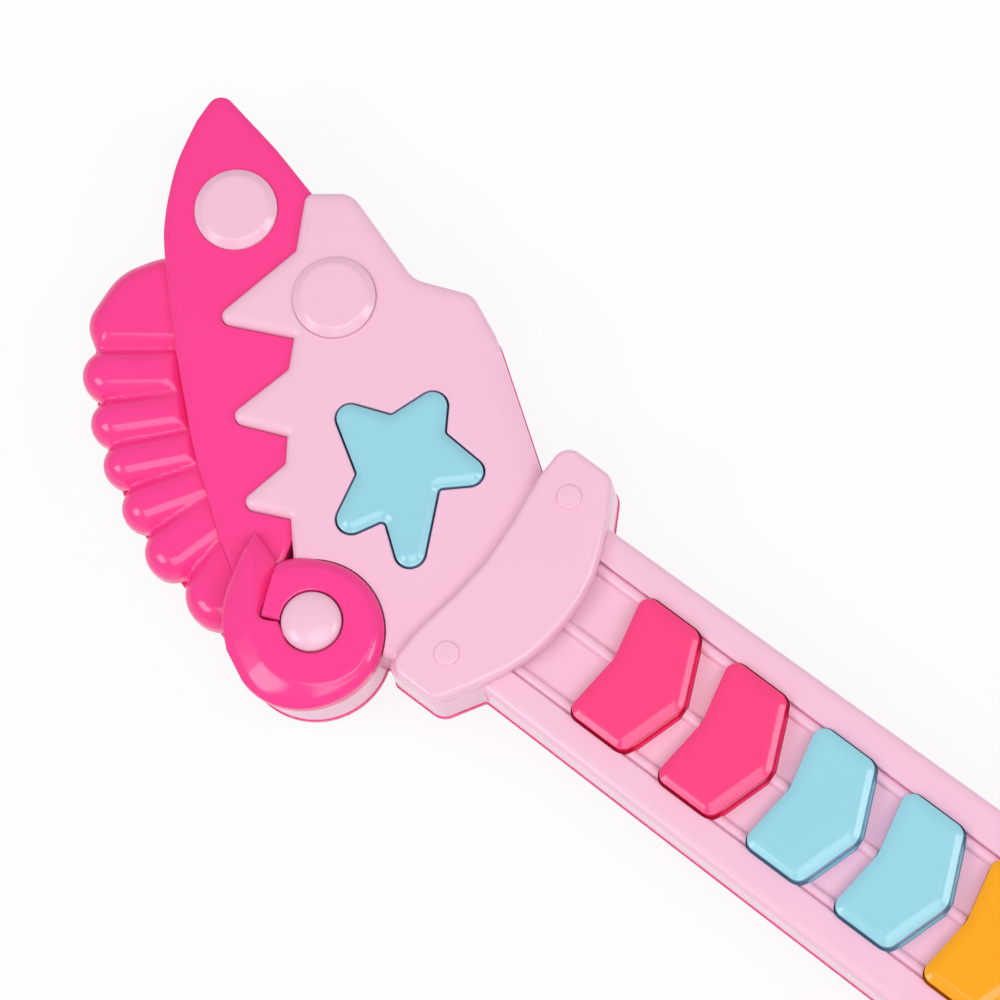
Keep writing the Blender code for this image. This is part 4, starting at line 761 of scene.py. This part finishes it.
# The soft chamfer beside the star: distance along the edge, width and drop
slope_from, slope_to = (Vector((NUT_X + x, y)) for x, y, _ in STAR_SIDE[:2])
along = (slope_to - slope_from).normalized()
outward = Vector((along.y, -along.x))
wedge = []
for distance, width, drop in [(-1.5, 3.9, 1.9), (22.0, 3.9, 1.9), (27.0, 3.2, 1.2), (31.0, 2.0, 0.3)]:
    spot = slope_from + along * distance
    crease, brink = spot - outward * width, spot + outward * 2.0
    low = FACE - drop * (width + 2.0) / width
    wedge.append([(*crease, FACE), (*brink, low), (*brink, FACE + 3), (*crease, FACE + 3)])
front = cut(front, lofted(wedge))
put("neck_front_shell", front, pale_pink)

# ================================================================ nut
# Pale pink crescent plate over the joint of neck and head, with a rounded edge and two small
# moulded rounds near its ends.
NUT_THICK = 2.8
ROUND_R, ROUND_PROUD = 2.6, 0.5
nut_base = FACE + GAP
nut_corners = on_guitar([(-10.5, 0, 40.0), (-9.2, -11.0, 30.0)] + NUT_MIRRORED
                        + [(12.6, -20.0, 6.0), (9.6, 0, 60.0), (12.6, 20.0, 6.0)] + NUT_SIDE[::-1]
                        + [(-9.2, 11.0, 30.0)])
nut_top = nut_base + NUT_THICK
rounds = [turned([(0, -1, 0), (ROUND_R, -1, 0), (ROUND_R, ROUND_PROUD, 0.45), (0, ROUND_PROUD, 0)],
                 NUT_X + x, y, nut_top) for x, y in ((4.9, -20.3), (4.6, 19.6))]
nut = join(raised(nut_corners, [(0, nut_base)] + rounded(nut_top, 1.3)), *rounds)
put("nut_plate", nut, pale_pink)

# ================================================================ keys
# Chevron ABS caps over rubber domes: an upright wall, a sloping rim and a flat top inside a
# soft crease. A lip under the casing keeps each one in.
KEY_TOP = FACE + 2.5
KEY_LIP = 0.5
KEY_BASE = SKIN_UNDER - GAP - LIP_THICK
KEY_RIM, KEY_RIM_DROP = 2.9, 0.75
KEY_FOOT = 0.38           # how far the wall's foot fills the gap round it
# The last colour of each key finish is painted shade on the cap's upright wall.
key_pink = moulded_abs("hot_pink_key_cap_abs", "FE4083", "FD3B7E", 0.16, "F0104E")
key_blue = moulded_abs("light_blue_key_cap_abs", "9CD9E8", "96D3E4", 0.16, "7DB2D2")
key_orange = moulded_abs("orange_key_cap_abs", "FEAC00", "FCA500", 0.16, "EC8A00")
KEY_FINISHES = [key_pink, key_pink, key_blue, key_blue, key_orange, key_orange]


def button_profile(top, clear, foot, foot_top, rim_width, rim_drop, edge=0.25):
    """Lip, foot in the gap, upright wall, small edge and a slope that eases into the flat top."""
    lip = clear + KEY_LIP
    ledge = KEY_BASE + LIP_THICK
    walls = [(lip, KEY_BASE), (lip, ledge), (foot, ledge), (foot, foot_top - 0.5), (0, foot_top)]
    easing = [part / 8 for part in range(1, 9)]
    slope = [(-edge - (rim_width - edge) * share, top - rim_drop * (1 - share) ** 2) for share in easing]
    return walls + rounded(top - rim_drop, edge, 1, 0, 4) + slope


for number in range(KEYS):
    profile = button_profile(KEY_TOP, KEY_CLEAR, KEY_FOOT, CHANNEL + 0.1, KEY_RIM, KEY_RIM_DROP)
    finish = KEY_FINISHES[number % len(KEY_FINISHES)]
    put(f"key_{number + 1}", raised(key_at(number, key_corners), profile), finish, f"key_{number + 1}")

# ================================================================ star button
# Light blue five-armed ABS cap in the head plate, its rim creased like the keys'.
STAR_TOP = FACE + 0.9
star_profile = button_profile(STAR_TOP, STAR_CLEAR, STAR_CLEAR - 0.2, FACE - 2.4, 2.6, 0.85)
put("star_button", raised(on_guitar(star_corners()), star_profile), key_blue, "star")

# ================================================================ leaf
# Hot pink ABS plate under the head plate's teeth, ending in a long pointed tip. Its free edge
# has a narrow bevel that steps down to the fan.
LEAF_BEVEL = 0.5          # height of the bevel
LEAF_EDGE = [(116.9, -38.0), (114.8, -29.6), (112.1, -23.4), (109.1, -18.1), (105.4, -13.2), (95.8, -3.4),
             (88.8, 3.2), (81.5, 9.6), (74.0, 16.1), (66.7, 21.4), (59.3, 26.7), (51.4, 31.5), (47.5, 33.5)]


def curve(points, parts):
    """Smooth open curve through the points, of any number of coordinates."""
    line = []
    ends = [points[0]] + list(points) + [points[-1]]
    for p0, p1, p2, p3 in zip(ends, ends[1:], ends[2:], ends[3:]):
        for part in range(parts):
            t = part / parts
            line.append(tuple(0.5 * (2 * b + (c - a) * t + (2 * a - 5 * b + 4 * c - d) * t * t
                                     + (3 * b - a - 3 * c + d) * t ** 3)
                              for a, b, c, d in zip(p0, p1, p2, p3)))
    return line + [tuple(points[-1])]


leaf_corners = on_guitar([(82.0, -38.5, 0), LEAF_SIDE, LEAF_TIP] + [(x, y, 0) for x, y in curve(LEAF_EDGE, 5)]
                         + [(44.0, 24.0, 0), (62.0, -30.0, 0)])
leaf = raised(leaf_corners, [(0, NECK_SEAM)] + rounded(LEAF_FACE - LEAF_BEVEL, 0.6, 1, 0, 4)
              + [(-0.6 - 2.1 * LEAF_BEVEL, LEAF_FACE)])
leaf_room = cut(raised(leaf_corners, [(-WALL, NECK_SEAM - PAST), (-WALL, LEAF_FACE - 3.5)]),
                raised(grow(front_corners, GAP + WALL), [(0, NECK_SEAM - 2 * PAST), (0, FACE + PAST)]))
leaf = cut(leaf, leaf_room)
leaf = cut(leaf, raised(grow(front_corners, 2 * TIGHT), [(0, NECK_SEAM - PAST), (0, FACE + PAST)]))
leaf = cut(leaf, disc(*CAP_1, CAP_R + TIGHT, LEAF_FACE - CAP_SEAT, FACE + PAST, 96))
put("leaf_overlay", leaf, hot_pink)

# ================================================================ fan
# Seven rounded hot pink fingers moulded as one piece. The valleys between them are soft.
FAN_FACE = 23.6
FAN_ROUND = 4.4
FAN_VOXEL = 0.5
FIRST_LOBE = [(96.0, -16.0, 0), (104.6, -13.6, 12.0), (110.6, -4.0, 12.0), (109.6, 8.4, 6.0),
              (103.6, 12.0, 0), (87.5, 0.5, 0)]
# The other fingers: root, centre of the round end, radius
LOBES = [((86.0, 4.4), (98.7, 14.1), 5.5), ((80.2, 9.8), (91.4, 21.2), 5.0),
         ((73.3, 14.5), (83.9, 26.5), 4.9), ((66.4, 17.6), (75.0, 31.1), 5.1),
         ((60.5, 19.4), (64.8, 34.8), 6.0), ((52.0, 20.8), (51.4, 35.7), 7.6)]


def finger(outline):
    """One rounded finger, flat underneath."""
    return raised(on_guitar(outline), [(0, NECK_SEAM)] + rounded(FAN_FACE, FAN_ROUND, 1, 0, 10))


def lobe(root, tip, radius):
    """Outline of one finger of the fan."""
    heading = math.degrees(math.atan2(tip[1] - root[1], tip[0] - root[0]))
    side = Vector((-(tip[1] - root[1]), tip[0] - root[0])).normalized() * radius
    outline = [(root[0] + side.x, root[1] + side.y, 0), (root[0] - side.x, root[1] - side.y, 0)]
    return outline + arc(*tip, radius, heading - 90, heading + 90, 24)


lobes = [lobe(*row) for row in LOBES]
fan_body = join(finger(FIRST_LOBE), finger(lobes[1]), finger(lobes[3]), finger(lobes[5]))
fan_body = join(fan_body, finger(lobes[0]), finger(lobes[2]), finger(lobes[4]))
fan_item = spare_object(fan_body)
remesh = fan_item.modifiers.new("even skin", "REMESH")
remesh.mode = "VOXEL"
remesh.voxel_size = FAN_VOXEL
ease = fan_item.modifiers.new("soft valleys", "SMOOTH")
ease.factor = 0.5
ease.iterations = 6
fan = settled(fan_item)
for neighbour in (leaf_corners, front_corners):
    fan = cut(fan, raised(grow(neighbour, TIGHT), [(0, NECK_SEAM - PAST), (0, FACE + PAST)]))
put("tuner_fan", fan, hot_pink, smooth=50)

# ================================================================ scroll
# Hot pink ABS ribbon that winds round the dome and sweeps up to a point. It is crowned, its
# outer slope widens to the left, and the ring's start makes a step where the point passes it.
SCROLL_BASE = LEAF_FACE + GAP
SCROLL_TOP = SCROLL_BASE + 4.6
DOME_X, DOME_Y, DOME_R = 30.7, 30.6, 6.1


def blend(a, b, t):
    """Between a and b, eased at both ends."""
    t = min(max(t, 0.0), 1.0)
    t = t * t * (3 - 2 * t)
    return a + (b - a) * t


def across(outer, crest, ridge, inner, z_outer, z_crest, z_ridge, z_inner):
    """Section of the ribbon from its outer foot over crest and ridge to its inner foot."""
    outer, crest, ridge, inner = (Vector(point) for point in (outer, crest, ridge, inner))
    edge = (crest - outer).normalized()
    lip = (inner - ridge).normalized()
    climb = z_crest - z_outer
    line = [(*outer, z_outer - 0.7), (*(outer + edge * 0.25), z_outer - 0.2),
            (*outer.lerp(crest, 0.3), z_outer + climb * 0.36),
            (*outer.lerp(crest, 0.7), z_outer + climb * 0.78), (*crest, z_crest),
            (*crest.lerp(ridge, 0.5), (z_crest + z_ridge) / 2 + 0.12), (*ridge, z_ridge),
            (*ridge.lerp(inner, 0.5), (z_ridge + z_inner) / 2), (*(inner - lip * 0.35), z_inner),
            (*inner, z_inner - 0.35)]
    smooth = curve(line, 3)
    points = [(*outer, SCROLL_BASE)] + smooth + [(*inner, SCROLL_BASE)]
    return [(x + NUT_X, y, z) for x, y, z in points]


stations = []
dome_room = DOME_R + GAP
ring_heights = (SCROLL_TOP, SCROLL_TOP - 0.1, SCROLL_TOP - 0.25)
RING_START, RING_END = 326.0, 72.0
for step in range(49):
    share = step / 48
    turn = RING_START + (RING_END - RING_START) * share
    radius = SCROLL_R + blend(0.0, 0.9, (turn - 296) / 30) + blend(0.0, 1.55, (160 - turn) / 88)
    bearing = math.radians(turn)
    outer = Vector((SCROLL_X + radius * math.cos(bearing), SCROLL_Y + radius * math.sin(bearing)))
    inner_turn = math.radians(394.0 + (76.0 - 394.0) * share)
    inner = Vector((DOME_X + dome_room * math.cos(inner_turn), DOME_Y + dome_room * math.sin(inner_turn)))
    slope = blend(0.26, 0.52, (share - 0.55) / 0.4)
    crest = outer.lerp(inner, slope)
    ridge = outer.lerp(inner, 0.93)
    drop = blend(1.5, 2.3, (share - 0.5) / 0.45)
    stations.append((outer, crest, ridge, inner, SCROLL_TOP - drop, *ring_heights))
stations.insert(0, (Vector((44.0, 25.0)), Vector((42.8, 28.0)), Vector((40.1, 34.4)), Vector((39.5, 35.7)),
                    SCROLL_TOP - 1.4, SCROLL_TOP - 0.1, SCROLL_TOP - 0.1, SCROLL_TOP - 0.25))
# Outer, crest, ridge and inner points of the point's sweep, and their heights under the top
SWEEP = [((41.3, 45.2), (38.7, 39.7), (36.7, 35.9), (36.1, 34.6), 2.3, 0.0, 0.1, 0.3),
         ((46.0, 40.9), (41.8, 37.2), (40.5, 36.4), (39.7, 36.0), 2.3, 0.0, 0.2, 0.5),
         ((49.0, 36.0), (45.0, 33.7), (43.6, 32.9), (41.4, 32.3), 2.3, 0.1, 0.3, 1.6),
         ((50.8, 31.3), (47.7, 30.5), (46.4, 29.5), (42.9, 28.9), 2.4, 0.3, 0.6, 2.3),
         ((52.0, 26.9), (50.0, 27.1), (49.0, 26.3), (44.3, 25.5), 2.6, 0.8, 1.1, 3.0),
         ((52.3, 24.5), (51.3, 24.5), (50.7, 24.1), (47.8, 23.7), 3.2, 1.5, 1.7, 3.3),
         ((52.2, 22.8), (51.9, 22.8), (51.6, 22.7), (50.9, 22.7), 3.4, 2.6, 2.6, 3.5)]
for row in curve([(*o, *c, *r, *i, *depths) for o, c, r, i, *depths in SWEEP], 5):
    stations.append((row[0:2], row[2:4], row[4:6], row[6:8], *[SCROLL_TOP - depth for depth in row[8:12]]))
scroll = lofted([across(*station) for station in stations])
put("scroll_overlay", scroll, hot_pink, smooth=40)

# ================================================================ dome and tuner caps
# Pale pink ABS discs pressed into seats: the dome in the scroll's eye, one cap on the leaf and
# one on the plate. Each has a raised crown inside a soft rim.
dome_thick = SCROLL_TOP - 0.4 - SCROLL_BASE
rise = [math.radians(9 * part) for part in range(10)]
crown = [(DOME_R * math.cos(a), dome_thick + 2.0 * math.sin(a), 0) for a in rise] + [(0, dome_thick + 2.0, 0)]
dome = turned([(0, 0, 0), (DOME_R, 0, 0)] + crown, NUT_X + DOME_X, DOME_Y, SCROLL_BASE)
put("scroll_dome", dome, pale_pink)
for number, (place, seat) in enumerate(((CAP_1, LEAF_FACE), (CAP_2, FACE)), 1):
    cap = turned([(0, 0, 0), (CAP_R, 0, 0), (CAP_R, CAP_SEAT + 0.3, 0.5), (CAP_R - 1.8, CAP_SEAT + 1.4, 1.6),
                  (0, CAP_SEAT + 1.4, 0)], *place, seat - CAP_SEAT + GAP, 96, 8)
    put(f"tuner_cap_{number}", cap, pale_pink)

# ================================================================ what the casings hold
# Silicone sheets, circuit boards, ribbons, cells, contacts, speaker and screws. They show only
# through gaps, through the grille and with the battery door open.
def plain_finish(name, code, grain_code, rough, grain_size, metal=0.0, ior=1.5):
    """Everyday finish with a fine mottle in colour and roughness."""
    material, tree, shader, place = new_finish(name, ior)
    shader.inputs["Metallic"].default_value = metal
    mottle = noise_of(tree, place, grain_size, 4.0)
    gloss = add_node(tree, "ShaderNodeMapRange", {"Value": mottle}, To_Min=rough - 0.08, To_Max=rough + 0.08)
    tree.links.new(mixed(tree, mottle, code, grain_code).outputs[2], shader.inputs["Base Color"])
    tree.links.new(gloss.outputs[0], shader.inputs["Roughness"])
    return material


zinc = plain_finish("zinc_plated_steel", "B9BCC0", "A7ABB0", 0.3, 0.7, metal=1.0)
INSIDES = [
    (plain_finish("silicone_rubber", "EFEAE0", "E2DCCF", 0.55, 3.0, ior=1.41),
     ["key_rubber_sheet", "star_rubber_pad", "button_rubber_sheet"]),
    (plain_finish("solder_mask_on_glass_epoxy", "2F7A4A", "276B40", 0.35, 0.6),
     ["key_circuit_board", "star_circuit_board", "button_circuit_board", "main_circuit_board"]),
    (plain_finish("pvc_ribbon_cable", "EFEAE0", "DAD4C6", 0.45, 1.0),
     ["star_ribbon", "neck_ribbon"]),
    (plain_finish("black_moulded_plastic", "222222", "2B2B2B", 0.5, 0.8),
     ["speaker", "sound_module", "switch_body"]),
    (plain_finish("printed_battery_sleeve", "2A3350", "303A5A", 0.3, 5.0),
     ["battery_1", "battery_2", "battery_3"]),
    (zinc, ["battery_contact_tail", "battery_contact_neck", "strum_axle", "whammy_clip"]),
]
for finish, names in INSIDES:
    for name in names:
        cad_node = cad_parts[name]
        cad_node.data.materials.clear()
        cad_node.data.materials.append(finish)

# ================================================================ screws
# Zinc plated self-tapping screws with a cross recess, driven upwards from the back into blind
# bosses. The battery door's own screw stays in the door.
CROSS_REACH, CROSS_HALF, CROSS_DEEP = 1.3, 0.28, 0.7
SCREW_POINT = 1.2


def cross_screw(node, x, y, z_head, length, body="casing"):
    """Countersunk screw whose head faces down."""
    shape = turned([(0, 0, 0), (SCREW_HEAD, 0, 0.15), (SCREW_HEAD, HEAD_FLAT, 0.1),
                    (SCREW_R, HEAD_FLAT + HEAD_TAPER, 0), (SCREW_R, length - SCREW_POINT, 0), (0, length, 0)],
                   x, y, z_head, 32)
    arms = [block(x - wide, x + wide, y - high, y + high, z_head - 1, z_head + CROSS_DEEP)
            for wide, high in ((CROSS_REACH, CROSS_HALF), (CROSS_HALF, CROSS_REACH))]
    put(node, cut(cut(shape, arms[0]), arms[1]), zinc, body)


# Screws: name, places, height of the head and length
SCREWS = [("neck_screw", CASING_SCREWS, NECK_BACK + SCREW_IN + GAP, SKIN_UNDER - NECK_BACK - 3.6),
          ("body_screw", BODY_SCREWS, SCREW_IN + GAP, SKIN_LOW - 6.0),
          ("joint_screw", JOINT_SCREWS, SCREW_IN + GAP, rim - 3.2)]
for kind, places, z_head, length in SCREWS:
    for number, (x, y) in enumerate(places, 1):
        cross_screw(f"{kind}_{number}", x, y, z_head, length)
cross_screw("battery_door_screw", DOOR_SCREW_X, 0, GAP + 0.1, 6.5, "door")
